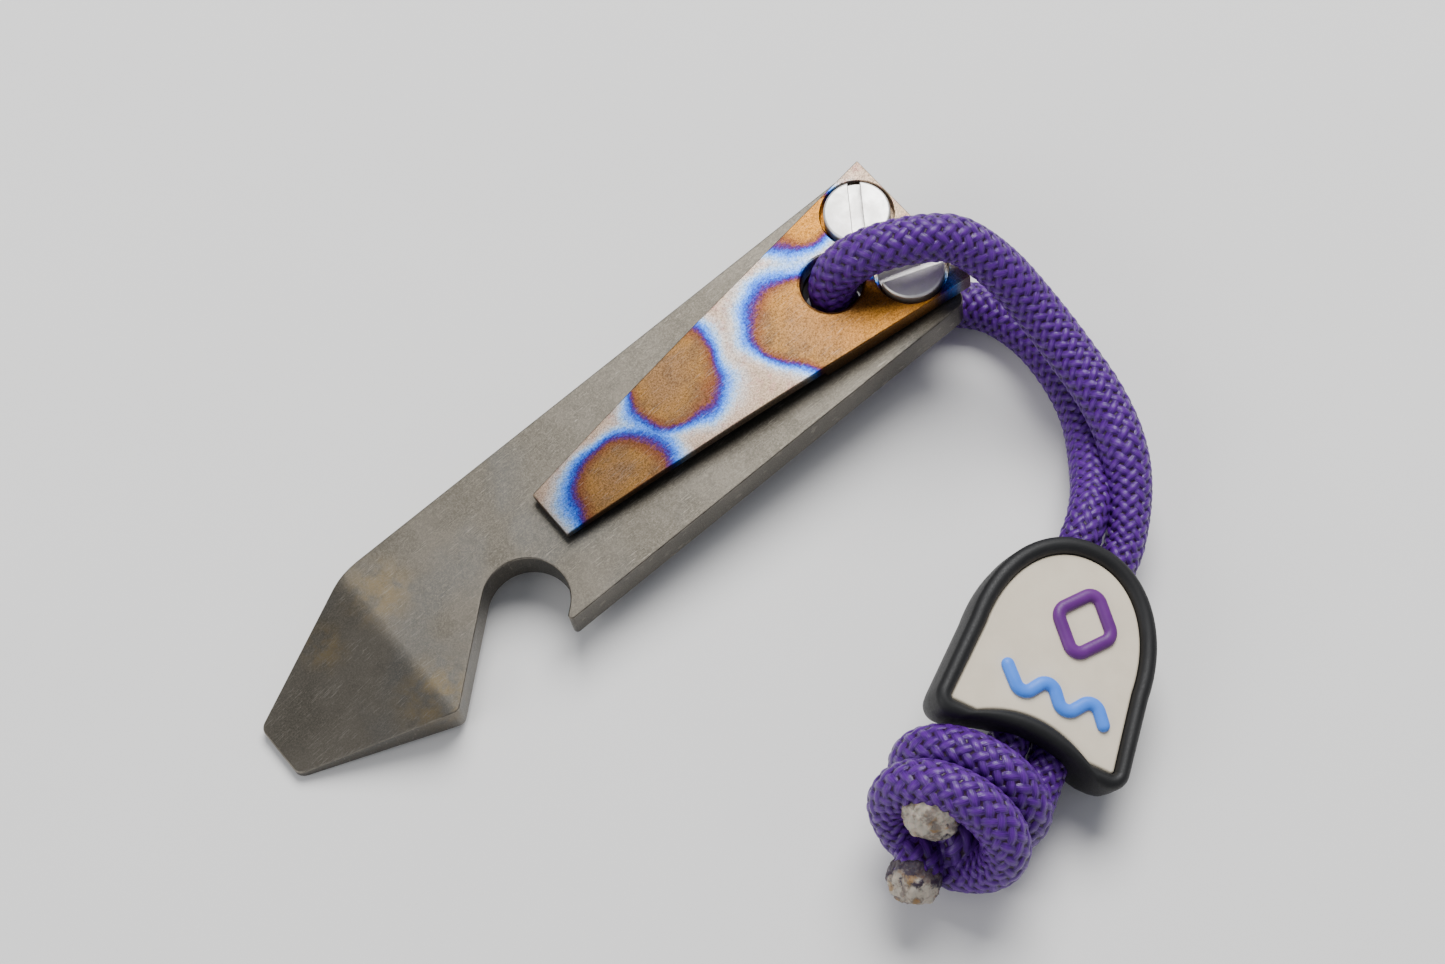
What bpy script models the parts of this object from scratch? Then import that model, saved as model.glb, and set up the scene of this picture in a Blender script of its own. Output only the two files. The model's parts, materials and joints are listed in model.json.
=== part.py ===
"""Keychain bottle opener: a small titanium pry bar with an opener notch, a pocket clip held by
two slotted screws, and a loop of braided cord that carries a moulded bead and ends in a knot.

Everything on the metal bar is modelled in the bar's own frame: X from the pry tip to the lanyard
end, Z up from the bar's flat underside. The bar lies with its tip on the table and its other end
on the cord that passes beneath it, so that frame is pitched up before it meets the table, Z = 0.
"""

import math

import bmesh
import bpy
from mathutils import Matrix, Vector

MM = 0.001

# ---------------------------------------------------------------- driving dimensions
GAP = 0.3 * MM  # room kept between pieces that touch

# the bar
BODY_LENGTH = 68.2 * MM
BODY_WIDTH = 16.0 * MM
BODY_THICK = 3.5 * MM
BODY_EDGE = 0.3 * MM  # tumbled edge, top and bottom
END_CORNER = 1.2 * MM

# the pry head: a wedge on the top face, from a soft crease down to a thin tip
HEAD_LENGTH = 13.2 * MM  # tip to the widest place
TIP_WIDTH = 5.2 * MM
TIP_THICK = 1.0 * MM
TIP_CORNER = 0.9 * MM
CREASE_X = 12.4 * MM
CREASE_SOFT = 0.9 * MM  # half the length over which the crease is rounded
HEAD_CORNER_LEFT = 8.0 * MM
HEAD_CORNER_RIGHT = 0.8 * MM

# the opener notch in the right side
NOTCH_X = 23.25 * MM
NOTCH_INSET = 3.85 * MM  # the round seat's centre, in from the side
NOTCH_RADIUS = 3.7 * MM
JAW_ANGLE = math.radians(41)  # slope of the straight jaw
HOOK_ANGLE = math.radians(-50)  # where the seat runs out into the tooth

# the lanyard hole, measured in from the end of the bar
HOLE_FROM_END = 8.2 * MM
HOLE_RADIUS = 2.6 * MM
HOLE_CHAMFER = 0.35 * MM

# the pocket clip: a block under the screws and a thin spring arm
CLIP_OVERHANG = 0.9 * MM  # past the end of the bar
CLIP_LENGTH = 39.8 * MM
CLIP_END_WIDTH = 14.7 * MM
CLIP_TIP_WIDTH = 4.7 * MM
CLIP_RISE = 2.3 * MM  # top of the clip over the bar's top face
CLIP_TIP_RISE = 1.2 * MM
CLIP_ROOT_FROM_END = 14.9 * MM  # where the arm leaves the block
ARM_ROOT_THICK = 1.2 * MM
ARM_TIP_THICK = 0.8 * MM
CLIP_EDGE = 0.1 * MM

# the two screws
SCREW_HEAD_RADIUS = 2.85 * MM
SCREW_END_WALL = 0.15 * MM  # clip metal between a head's hole and the end of the clip
SCREW_MIDDLE_WALL = 0.7 * MM  # and between the two heads' holes
SCREW_HEAD_PROUD = 0.5 * MM
SCREW_HEAD_EDGE = 0.25 * MM
SCREW_SHANK_RADIUS = 1.5 * MM
SCREW_LEDGE = 1.1 * MM  # clip metal left under the head
SLOT_WIDTH = 1.05 * MM
SLOT_DEPTH = 0.7 * MM
SLOT_TURNS = (math.radians(55), math.radians(-21))

# the cord
CORD_DIAMETER = 4.0 * MM
CORD_IN_BEAD = 0.85  # how much the bead squeezes it
CORD_STEP = 1.8 * MM

# the bead on the cord
BEAD_CENTRE = (-14.45 * MM, -39.6 * MM, 5.8 * MM)  # from the floor under the lanyard hole
BEAD_HEADING = math.radians(30)
BEAD_ROLL = math.radians(20)
BEAD_HALF_WIDTH = 8.8 * MM  # at the hem
BEAD_DOME_HALF_WIDTH = 8.1 * MM
BEAD_DOME_FROM = 7.0 * MM
BEAD_CORNER = 1.7 * MM
BEAD_NOSE = 17.4 * MM
BEAD_HEM = -1.4 * MM
BEAD_HEM_HOLLOW = 1.5 * MM
BEAD_THICK = 7.0 * MM
BEAD_RIM = 1.4 * MM
BEAD_RIM_PROUD = 0.6 * MM  # rim over the panel
BEAD_UNDER_EDGE = 2.2 * MM
BEAD_TOP_EDGE = 0.7 * MM
PANEL_THICK = 0.6 * MM
CHANNEL_SIDE = -1.1 * MM  # the channel sits right of the bead's middle line
CHANNEL_WALL = 0.4 * MM  # between the channel and the panel's recess
LEG_END = -1.4 * MM  # where the legs meet the knot, from the bead's centre
STROKE_RADIUS = 0.55 * MM
STROKE_FLAT = 0.55  # height of a raised stroke over its width
BEAD_TRAVEL = 3.0 * MM

# the knot under the bead
KNOT_FRONT = (-18.1 * MM, -39.5 * MM, 5.65 * MM)
KNOT_HEADING = math.radians(197)
KNOT_TILT = math.radians(20)
KNOT_SQUASH = 0.86  # its height over its width
KNOT_PROFILE = (  # distance along the knot, radius, in mm: two wraps with a groove between them
    (0.0, 4.0), (0.6, 5.8), (2.0, 6.8), (3.6, 6.3), (4.2, 6.0),
    (4.8, 6.3), (6.4, 6.9), (7.8, 6.1), (8.4, 4.7), (7.8, 3.4), (5.0, 3.0),
)
END_RADIUS = 2.1 * MM
END_LENGTH = 3.4 * MM
END_PLACES = ((5.3, 0.2, 0.1), (8.6, -1.2, -5.0))  # one in the last wrap's eye, one below it, in mm

# ---------------------------------------------------------------- worked-out places
HALF_WIDTH = BODY_WIDTH / 2
HOLE_X = BODY_LENGTH - HOLE_FROM_END
CLIP_END = BODY_LENGTH + CLIP_OVERHANG
CLIP_TIP = CLIP_END - CLIP_LENGTH
CLIP_ROOT = CLIP_END - CLIP_ROOT_FROM_END
CLIP_TOP = BODY_THICK + CLIP_RISE
CLIP_BOTTOM = BODY_THICK + GAP
SHANK_HOLE = SCREW_SHANK_RADIUS + GAP
HEAD_HOLE = SCREW_HEAD_RADIUS + GAP
SCREW_X = CLIP_END - SCREW_END_WALL - HEAD_HOLE
SCREW_SPACING = 2 * HEAD_HOLE + SCREW_MIDDLE_WALL
PANEL_TOP = BEAD_THICK / 2 - BEAD_RIM_PROUD
PANEL_LOW = PANEL_TOP - PANEL_THICK
CHANNEL_RADIUS = CORD_DIAMETER * CORD_IN_BEAD / 2 + GAP
CHANNEL_Z = PANEL_LOW - GAP - CHANNEL_WALL - CHANNEL_RADIUS
CORD_SPACING = CORD_DIAMETER * CORD_IN_BEAD + GAP  # between the two legs inside the bead

# the bar is propped up until the cord fits beneath it at the near edge of the lanyard hole
PITCH = math.atan((CORD_DIAMETER + GAP) / (HOLE_X - HOLE_RADIUS))
X_MIDDLE = (CLIP_END * math.cos(PITCH) - BODY_THICK * math.sin(PITCH)) / 2
BAR = Matrix.Translation((-X_MIDDLE, 0, 0)) @ Matrix.Rotation(-PITCH, 4, "Y")
HOLE_FOOT = BAR @ Vector((HOLE_X, 0, 0))
LANYARD = Matrix.Translation((HOLE_FOOT.x, 0, 0))  # the floor under the lanyard hole
BEAD = (
    LANYARD
    @ Matrix.Translation(BEAD_CENTRE)
    @ Matrix.Rotation(BEAD_HEADING, 4, "Z")
    @ Matrix.Rotation(BEAD_ROLL, 4, "X")
)
KNOT = (
    LANYARD
    @ Matrix.Translation(KNOT_FRONT)
    @ Matrix.Rotation(KNOT_HEADING, 4, "Z")
    @ Matrix.Rotation(-KNOT_TILT, 4, "Y")
)


# ---------------------------------------------------------------- helpers
def material(name, colour, roughness, metallic):
    made = bpy.data.materials.new(name)
    made.use_nodes = True
    shader = made.node_tree.nodes["Principled BSDF"]
    shader.inputs["Base Color"].default_value = (*colour, 1)
    shader.inputs["Roughness"].default_value = roughness
    shader.inputs["Metallic"].default_value = metallic
    return made


def add(name, data, place, finish=None, parent=None):
    """An object with its world place, on a parent if it has one."""
    made = bpy.data.objects.new(name, data)
    bpy.context.scene.collection.objects.link(made)
    if finish is not None:
        data.materials.append(finish)
    if parent is not None:
        made.parent = parent
        made.matrix_parent_inverse = Matrix.Identity(4)
        made.matrix_local = parent_place[parent.name].inverted() @ place
    else:
        made.matrix_world = place
    return made


parent_place = {}


def pivot(name, place):
    """An empty on a joint's axis, which the moving pieces are parented to."""
    parent_place[name] = place
    return add(name, None, place)


def mesh_from(shape, name, smooth=False):
    """A mesh datablock from a finished bmesh, with its faces pointing out."""
    bmesh.ops.remove_doubles(shape, verts=shape.verts, dist=1e-7)
    bmesh.ops.recalc_face_normals(shape, faces=shape.faces)
    data = bpy.data.meshes.new(name)
    shape.to_mesh(data)
    shape.free()
    if smooth:
        data.shade_smooth()
        data.set_sharp_from_angle(angle=math.radians(35))
    return data


def rounded(corners, step=math.radians(15)):
    """Outline points from (x, y, radius) corners, each corner an arc of that radius."""
    points = []
    for i, (x, y, radius) in enumerate(corners):
        here = Vector((x, y))
        if radius == 0:
            points.append(here)
            continue
        back = (Vector(corners[i - 1][:2]) - here).normalized()
        ahead = (Vector(corners[(i + 1) % len(corners)][:2]) - here).normalized()
        half = back.angle(ahead) / 2
        reach = radius / math.tan(half)
        centre = here + (back + ahead).normalized() * radius / math.sin(half)
        start = here + back * reach - centre
        turn = start.angle_signed(here + ahead * reach - centre)
        count = max(1, math.ceil(abs(turn) / step))
        for k in range(count + 1):
            spoke = start.copy()
            spoke.rotate(Matrix.Rotation(-turn * k / count, 2))
            points.append(centre + spoke)
    return points


def prism(points, low, high):
    """A bmesh of a flat outline, extruded from low to high."""
    shape = bmesh.new()
    face = shape.faces.new([shape.verts.new((p[0], p[1], low)) for p in points])
    walls = bmesh.ops.extrude_face_region(shape, geom=[face])
    top = [v for v in walls["geom"] if isinstance(v, bmesh.types.BMVert)]
    bmesh.ops.translate(shape, verts=top, vec=(0, 0, high - low))
    bmesh.ops.recalc_face_normals(shape, faces=shape.faces)
    return shape


def lathe(profile, name, steps=32, smooth=True):
    """A solid turned about Z from (radius, height) points; both ends sit on the axis."""
    shape = bmesh.new()
    verts = [shape.verts.new((radius, 0, height)) for radius, height in profile]
    edges = [shape.edges.new(pair) for pair in zip(verts, verts[1:])]
    bmesh.ops.spin(
        shape, geom=verts + edges, cent=(0, 0, 0), axis=(0, 0, 1),
        angle=math.tau, steps=steps, use_merge=True,
    )
    return mesh_from(shape, name, smooth)


def round_edges(shape, radius, segments, wanted):
    """Bevel the edges that the test picks."""
    edges = [e for e in shape.edges if wanted(e)]
    bmesh.ops.bevel(
        shape, geom=edges, offset=radius, segments=segments, profile=0.5,
        affect="EDGES", material=-1, clamp_overlap=True,
    )


def level(edge, height):
    return all(abs(v.co.z - height) < 1e-6 for v in edge.verts)


def cut(target, name, data, place):
    """A Boolean cut by a solid that isn't part of the object."""
    cutter = add(name, data, place)
    cutter.hide_render = True
    cutter.display_type = "WIRE"
    step = target.modifiers.new(name, "BOOLEAN")
    step.operation = "DIFFERENCE"
    step.solver = "EXACT"
    step.object = cutter


def bore(radius, chamfer, low, high, name):
    """A cutter for a round hole from low to high, with its two mouths chamfered."""
    over = 1 * MM
    wide = radius + chamfer + over
    return lathe(
        [
            (0, high + over), (wide, high + over), (radius, high - chamfer),
            (radius, low + chamfer), (wide, low - over), (0, low - over),
        ],
        name,
        smooth=False,
    )


# ---------------------------------------------------------------- the bar
def head_height(x):
    """The top face's height: level up to the crease, then a straight wedge, softly joined."""
    slope = (BODY_THICK - TIP_THICK) / CREASE_X
    into = CREASE_X + CREASE_SOFT - x
    if into <= 0:
        return BODY_THICK
    if into < 2 * CREASE_SOFT:
        return BODY_THICK - slope * into**2 / (4 * CREASE_SOFT)
    return BODY_THICK - slope * (CREASE_X - x)


def bar_outline():
    notch_y = NOTCH_INSET - HALF_WIDTH
    first = math.pi / 2 + JAW_ANGLE
    turn = HOOK_ANGLE - first
    steps = 18
    seat = [
        (
            NOTCH_X + NOTCH_RADIUS * math.cos(first + turn * k / steps),
            notch_y + NOTCH_RADIUS * math.sin(first + turn * k / steps),
            0,
        )
        for k in range(steps + 1)
    ]
    jaw_foot = seat[0][0] - (seat[0][1] + HALF_WIDTH) / math.tan(JAW_ANGLE)
    tooth = seat[-1][0] - (seat[-1][1] + HALF_WIDTH) / math.tan(HOOK_ANGLE + math.pi / 2)
    return rounded(
        [
            (0, -TIP_WIDTH / 2, TIP_CORNER),
            (jaw_foot, -HALF_WIDTH, HEAD_CORNER_RIGHT),
            *seat,
            (tooth, -HALF_WIDTH, BODY_EDGE + 0.05 * MM),
            (BODY_LENGTH, -HALF_WIDTH, END_CORNER),
            (BODY_LENGTH, HALF_WIDTH, END_CORNER),
            (HEAD_LENGTH, HALF_WIDTH, HEAD_CORNER_LEFT),
            (0, TIP_WIDTH / 2, TIP_CORNER),
        ]
    )


def on_a_rim(edge):
    """Whether an edge runs round the top or the bottom face, and isn't an upright or a crease."""
    a, b = (v.co for v in edge.verts)
    return edge.calc_face_angle(0) > math.radians(50) and abs(a.z - b.z) < 0.8 * (a - b).length


def make_bar():
    shape = prism(bar_outline(), 0, BODY_THICK)
    for k in (-1, -0.5, 0, 0.5, 1):
        bmesh.ops.bisect_plane(
            shape, geom=shape.verts[:] + shape.edges[:] + shape.faces[:],
            plane_co=(CREASE_X + k * CREASE_SOFT, 0, 0), plane_no=(1, 0, 0),
        )
    for v in shape.verts:
        if v.co.z > BODY_THICK / 2:
            v.co.z = head_height(v.co.x)
    round_edges(shape, BODY_EDGE, 2, on_a_rim)
    titanium = material("tumbled_titanium", (0.36, 0.335, 0.305), 0.42, 1.0)
    bar = add("pry_bar_body", mesh_from(shape, "pry_bar_body"), BAR, titanium)
    cut(bar, "cut_lanyard_bar", bore(HOLE_RADIUS, HOLE_CHAMFER, 0, BODY_THICK, "cut_lanyard_bar"),
        BAR @ Matrix.Translation((HOLE_X, 0, 0)))
    for i, side in enumerate((1, -1), 1):
        name = f"cut_thread_{i}"
        cut(bar, name, bore(SHANK_HOLE, 0.15 * MM, 0, BODY_THICK, name),
            BAR @ Matrix.Translation((SCREW_X, side * SCREW_SPACING / 2, 0)))


# ---------------------------------------------------------------- the clip
def clip_half_width(x):
    share = (x - CLIP_TIP) / CLIP_LENGTH
    return (CLIP_TIP_WIDTH + (CLIP_END_WIDTH - CLIP_TIP_WIDTH) * share) / 2


def arm_top(x):
    """The arm's top face falls towards its tip along a parabola."""
    share = (CLIP_ROOT - x) / (CLIP_ROOT - CLIP_TIP)
    return CLIP_TOP - (CLIP_RISE - CLIP_TIP_RISE) * share**2


def arm_bottom(x):
    share = (CLIP_ROOT - x) / (CLIP_ROOT - CLIP_TIP)
    return arm_top(x) - ARM_ROOT_THICK + (ARM_ROOT_THICK - ARM_TIP_THICK) * share


def make_clip():
    anodised = material("anodised_clip", (0.55, 0.36, 0.14), 0.34, 1.0)
    near = CLIP_ROOT + GAP / 2
    outline = [
        (near, -clip_half_width(near)), (CLIP_END, -clip_half_width(CLIP_END)),
        (CLIP_END, clip_half_width(CLIP_END)), (near, clip_half_width(near)),
    ]
    shape = prism(outline, CLIP_BOTTOM, CLIP_TOP)
    round_edges(shape, CLIP_EDGE, 1, lambda e: e.calc_face_angle(0) > 1)
    base = add("clip_base", mesh_from(shape, "clip_base"), BAR, anodised)
    cut(base, "cut_lanyard_clip",
        bore(HOLE_RADIUS, HOLE_CHAMFER, CLIP_BOTTOM, CLIP_TOP, "cut_lanyard_clip"),
        BAR @ Matrix.Translation((HOLE_X, 0, 0)))
    ledge = CLIP_BOTTOM + SCREW_LEDGE - GAP
    for i, side in enumerate((1, -1), 1):
        name = f"cut_counterbore_{i}"
        pocket = lathe(
            [
                (0, CLIP_TOP + 1 * MM), (HEAD_HOLE, CLIP_TOP + 1 * MM), (HEAD_HOLE, ledge),
                (SHANK_HOLE, ledge), (SHANK_HOLE, CLIP_BOTTOM - 1 * MM),
                (0, CLIP_BOTTOM - 1 * MM),
            ],
            name,
            smooth=False,
        )
        cut(base, name, pocket, BAR @ Matrix.Translation((SCREW_X, side * SCREW_SPACING / 2, 0)))

    hinge = Vector((CLIP_ROOT, 0, CLIP_TOP - ARM_ROOT_THICK / 2))
    flex = pivot("clip_flex_axis", BAR @ Matrix.Translation(hinge))
    root = CLIP_ROOT - GAP / 2
    steps = 14
    stations = [CLIP_TIP + (root - CLIP_TIP) * k / steps for k in range(steps + 1)]
    side_view = [(x, arm_bottom(x)) for x in stations]
    side_view += [(x, arm_top(x)) for x in reversed(stations)]
    shape = bmesh.new()
    face = shape.faces.new([shape.verts.new((x, -1, z)) for x, z in side_view])
    across = bmesh.ops.extrude_face_region(shape, geom=[face])
    far = [v for v in across["geom"] if isinstance(v, bmesh.types.BMVert)]
    bmesh.ops.translate(shape, verts=far, vec=(0, 2, 0))
    for v in shape.verts:
        v.co.y *= clip_half_width(v.co.x)
    bmesh.ops.translate(shape, verts=shape.verts, vec=-hinge)
    add("clip_arm", mesh_from(shape, "clip_arm"), BAR @ Matrix.Translation(hinge), anodised, flex)


# ---------------------------------------------------------------- the screws
def make_screws():
    steel = material("polished_screw", (0.72, 0.70, 0.67), 0.18, 1.0)
    top = CLIP_TOP + SCREW_HEAD_PROUD
    under = CLIP_BOTTOM + SCREW_LEDGE
    edge = SCREW_HEAD_EDGE
    profile = [
        (0, top), (SCREW_HEAD_RADIUS - edge, top), (SCREW_HEAD_RADIUS - 0.3 * edge, top - 0.3 * edge),
        (SCREW_HEAD_RADIUS, top - edge), (SCREW_HEAD_RADIUS, under), (SCREW_SHANK_RADIUS, under),
        (SCREW_SHANK_RADIUS, 2 * GAP), (SCREW_SHANK_RADIUS - GAP, GAP), (0, GAP),
    ]
    for i, (side, turn) in enumerate(zip((1, -1), SLOT_TURNS), 1):
        place = BAR @ Matrix.Translation((SCREW_X, side * SCREW_SPACING / 2, 0))
        screw = add(f"clip_screw_{i}", lathe(profile, f"clip_screw_{i}", 40), place, steel)
        half, long = SLOT_WIDTH / 2, SCREW_HEAD_RADIUS + 1 * MM
        slot = prism([(-long, -half), (long, -half), (long, half), (-long, half)],
                     top - SLOT_DEPTH, top + 1 * MM)
        cut(screw, f"cut_slot_{i}", mesh_from(slot, f"cut_slot_{i}"),
            place @ Matrix.Rotation(turn, 4, "Z"))


# ---------------------------------------------------------------- the lanyard
def legs_in_bead():
    """The two straight legs in the bead's channel, from its hem to past its nose, left one first."""
    legs = []
    for side in (1, -1):
        legs.append([
            BEAD @ Vector((along, CHANNEL_SIDE + side * CORD_SPACING / 2, CHANNEL_Z))
            for along in (LEG_END, 5 * MM, 11 * MM, BEAD_NOSE, BEAD_NOSE + BEAD_TRAVEL)
        ])
    return legs


# the free route, in mm from the floor under the lanyard hole: up out of the hole, over the
# screws, off the end of the bar and down to the bead; and beneath the bar and along the table
ROUTE_OVER = (
    (7.6, -28.7, 5.2), (9.6, -25.4, 6.3), (10.9, -21.5, 6.8), (11.5, -16.8, 7.5),
    (11.4, -12.4, 9.3), (10.5, -8.6, 12.1), (8.8, -5.5, 14.3), (6.4, -3.8, 15.2),
    (3.6, -2.1, 14.9), (1.5, -0.9, 13.7), (0.2, -0.2, 11.8), (-0.35, 0.0, 9.6),
    (-0.15, 0.0, 7.2),
)
ROUTE_UNDER = (
    (0.2, -0.1, 5.2), (0.9, -0.6, 3.3), (2.5, -1.6, 2.25), (5.2, -3.0, 2.1),
    (8.8, -4.9, 2.1), (11.2, -7.8, 2.1), (12.1, -11.9, 2.1), (11.7, -16.2, 2.15),
    (10.4, -20.2, 2.45), (8.2, -23.6, 3.2), (5.5, -26.6, 4.5),
)


def smooth_route(route, step):
    """Points at even steps along a Catmull-Rom curve through the route's own points."""
    ends = [2 * route[0] - route[1], *route, 2 * route[-1] - route[-2]]
    fine = []
    for a, b, c, d in zip(ends, ends[1:], ends[2:], ends[3:]):
        for k in range(24):
            t = k / 24
            fine.append(0.5 * (2 * b + (c - a) * t + (2 * a - 5 * b + 4 * c - d) * t**2
                               + (3 * b - a - 3 * c + d) * t**3))
    fine.append(route[-1])
    lengths = [0.0]
    for a, b in zip(fine, fine[1:]):
        lengths.append(lengths[-1] + (b - a).length)
    count = round(lengths[-1] / step)
    points = []
    at = 0
    for k in range(count + 1):
        want = lengths[-1] * k / count
        while at < len(fine) - 2 and lengths[at + 1] < want:
            at += 1
        share = (want - lengths[at]) / (lengths[at + 1] - lengths[at])
        points.append(fine[at].lerp(fine[at + 1], share))
    return points


def make_cord(swing):
    purple = material("purple_cord", (0.085, 0.024, 0.22), 0.6, 0.0)
    left, right = legs_in_bead()
    middle = [LANYARD @ (Vector(p) * MM) for p in ROUTE_OVER + ROUTE_UNDER]
    route = smooth_route(right + middle + left[::-1], CORD_STEP)
    curve = bpy.data.curves.new("paracord", "CURVE")
    curve.dimensions = "3D"
    curve.bevel_depth = CORD_DIAMETER / 2
    curve.bevel_resolution = 3
    curve.use_fill_caps = True
    line = curve.splines.new("POLY")
    line.points.add(len(route) - 1)
    into_bead = BEAD.inverted()
    home = parent_place[swing.name].inverted()
    for point, place in zip(line.points, route):
        past_nose = (into_bead @ place).x - BEAD_NOSE - BEAD_TRAVEL
        squeeze = min(1.0, max(0.0, past_nose / (6 * MM)))
        point.co = (*(home @ place), 1)
        point.radius = CORD_IN_BEAD + (1 - CORD_IN_BEAD) * squeeze
    add("paracord", curve, parent_place[swing.name], purple, swing)
    return purple


def make_knot(swing, purple):
    profile = [(0, KNOT_PROFILE[0][0] * MM)]
    profile += [(radius * MM, along * MM) for along, radius in KNOT_PROFILE]
    profile += [(0, KNOT_PROFILE[-1][0] * MM)]
    wraps = lathe(profile, "lanyard_knot", 28)
    wraps.transform(Matrix.Diagonal((KNOT_SQUASH, 1, 1, 1)))
    lying = Matrix.Rotation(math.pi / 2, 4, "Y")
    add("lanyard_knot", wraps, KNOT @ lying, purple, swing)
    melted = material("melted_nylon", (0.42, 0.38, 0.30), 0.55, 0.0)
    stub = [(0, 0), (END_RADIUS, 0), (END_RADIUS, END_LENGTH * 0.6),
            (END_RADIUS * 0.8, END_LENGTH * 0.9), (0, END_LENGTH)]
    for i, (along, across, up) in enumerate(END_PLACES, 1):
        place = KNOT @ Matrix.Translation((along * MM, across * MM, up * MM)) @ lying
        add(f"cord_end_{i}", lathe(stub, f"cord_end_{i}", 20), place, melted, swing)


# ---------------------------------------------------------------- the bead
def shield(inset):
    """The bead's outline, drawn in by an inset: a domed nose, and a hollow hem with two corners."""
    half = BEAD_DOME_HALF_WIDTH - inset
    hem_half = BEAD_HALF_WIDTH - inset
    nose = BEAD_NOSE - inset - BEAD_DOME_FROM
    hem = BEAD_HEM + inset
    corner = max(0.35 * MM, BEAD_CORNER - inset)
    steps = 14
    side = []
    for k in range(steps + 1):
        turn = math.pi / 2 * k / steps
        side.append((BEAD_DOME_FROM + nose * math.sin(turn) ** 0.95, half * math.cos(turn) ** 0.95, 0))
    hollow = [
        (hem + BEAD_HEM_HOLLOW * (1 - share**2), (hem_half - 2.4 * MM) * -share, 0)
        for share in [-1 + k / 4 for k in range(9)]
    ]
    right = [(x, -y, 0) for x, y, _ in side]
    return rounded([
        *side[::-1][1:], (hem, hem_half, corner), *hollow, (hem, -hem_half, corner), *right,
    ])


def make_bead(swing):
    black = material("bead_black", (0.013, 0.013, 0.014), 0.55, 0.0)
    cream = material("bead_cream", (0.60, 0.55, 0.45), 0.6, 0.0)
    violet = material("bead_purple", (0.15, 0.035, 0.22), 0.5, 0.0)
    blue = material("bead_blue", (0.10, 0.31, 0.92), 0.5, 0.0)
    half = BEAD_THICK / 2
    slide = pivot("bead_slide_axis", BEAD)

    shape = prism(shield(0), -half, half)
    round_edges(shape, BEAD_UNDER_EDGE, 3, lambda e: level(e, -half))
    round_edges(shape, BEAD_TOP_EDGE, 2, lambda e: level(e, half))
    body = add("bead_body", mesh_from(shape, "bead_body", True), BEAD, black, slide)
    cut(body, "cut_recess",
        mesh_from(prism(shield(BEAD_RIM), PANEL_LOW - GAP, half + 1 * MM), "cut_recess"), BEAD)
    ends = [
        (CORD_SPACING / 2 * side + CHANNEL_RADIUS * math.cos(turn), CHANNEL_RADIUS * math.sin(turn))
        for side, first in ((1, -math.pi / 2), (-1, math.pi / 2))
        for turn in [first + math.pi * k / 10 for k in range(11)]
    ]
    channel = prism(ends, BEAD_HEM - 3 * MM, BEAD_NOSE + 2 * MM)
    bmesh.ops.rotate(channel, verts=channel.verts, cent=(0, 0, 0),
                     matrix=Matrix(((0, 0, 1), (1, 0, 0), (0, 1, 0))))
    bmesh.ops.translate(channel, verts=channel.verts, vec=(0, CHANNEL_SIDE, CHANNEL_Z))
    cut(body, "cut_channel", mesh_from(channel, "cut_channel"), BEAD)

    shape = prism(shield(BEAD_RIM + GAP), PANEL_LOW, PANEL_TOP)
    add("bead_panel", mesh_from(shape, "bead_panel"), BEAD, cream, slide)

    raised = Matrix.Diagonal((1, 1, STROKE_FLAT, 1))
    lift = PANEL_TOP + GAP + STROKE_RADIUS * STROKE_FLAT
    diamond = [(13.6, -1.0), (10.6, 1.6), (7.6, -1.0), (10.6, -3.6)]
    zigzag = [(4.6, 3.9), (2.6, 2.0), (5.2, 0.2), (2.6, -1.8), (5.2, -3.8), (3.4, -5.2)]
    for name, points, closed, finish in (
        ("bead_motif_purple", diamond, True, violet),
        ("bead_motif_blue", zigzag, False, blue),
    ):
        curve = bpy.data.curves.new(name, "CURVE")
        curve.dimensions = "3D"
        curve.bevel_depth = STROKE_RADIUS
        curve.bevel_resolution = 3
        curve.use_fill_caps = True
        line = curve.splines.new("POLY")
        line.points.add(len(points) - 1)
        for point, (along, across) in zip(line.points, points):
            point.co = (along * MM, across * MM, 0, 1)
        line.use_cyclic_u = closed
        add(name, curve, BEAD @ Matrix.Translation((0, 0, lift)) @ raised, finish, slide)


# ---------------------------------------------------------------- the whole object
def main():
    for old in list(bpy.data.objects):
        bpy.data.objects.remove(old, do_unlink=True)
    make_bar()
    make_clip()
    make_screws()
    swing = pivot("lanyard_swing_axis", LANYARD)
    purple = make_cord(swing)
    make_knot(swing, purple)
    make_bead(swing)


main()
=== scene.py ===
# %% [markdown]
# # A keychain bottle opener
# A titanium pry bar with an opener notch, a flame-anodised pocket clip held by two slotted
# screws, and a loop of braided cord with a moulded bead and a knot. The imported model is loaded
# first: it says where everything is and how it moves. The pieces below are built around it.

# %% Load the frame
import json
import math

import bmesh
import bpy
from mathutils import Matrix, Vector, noise

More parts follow.
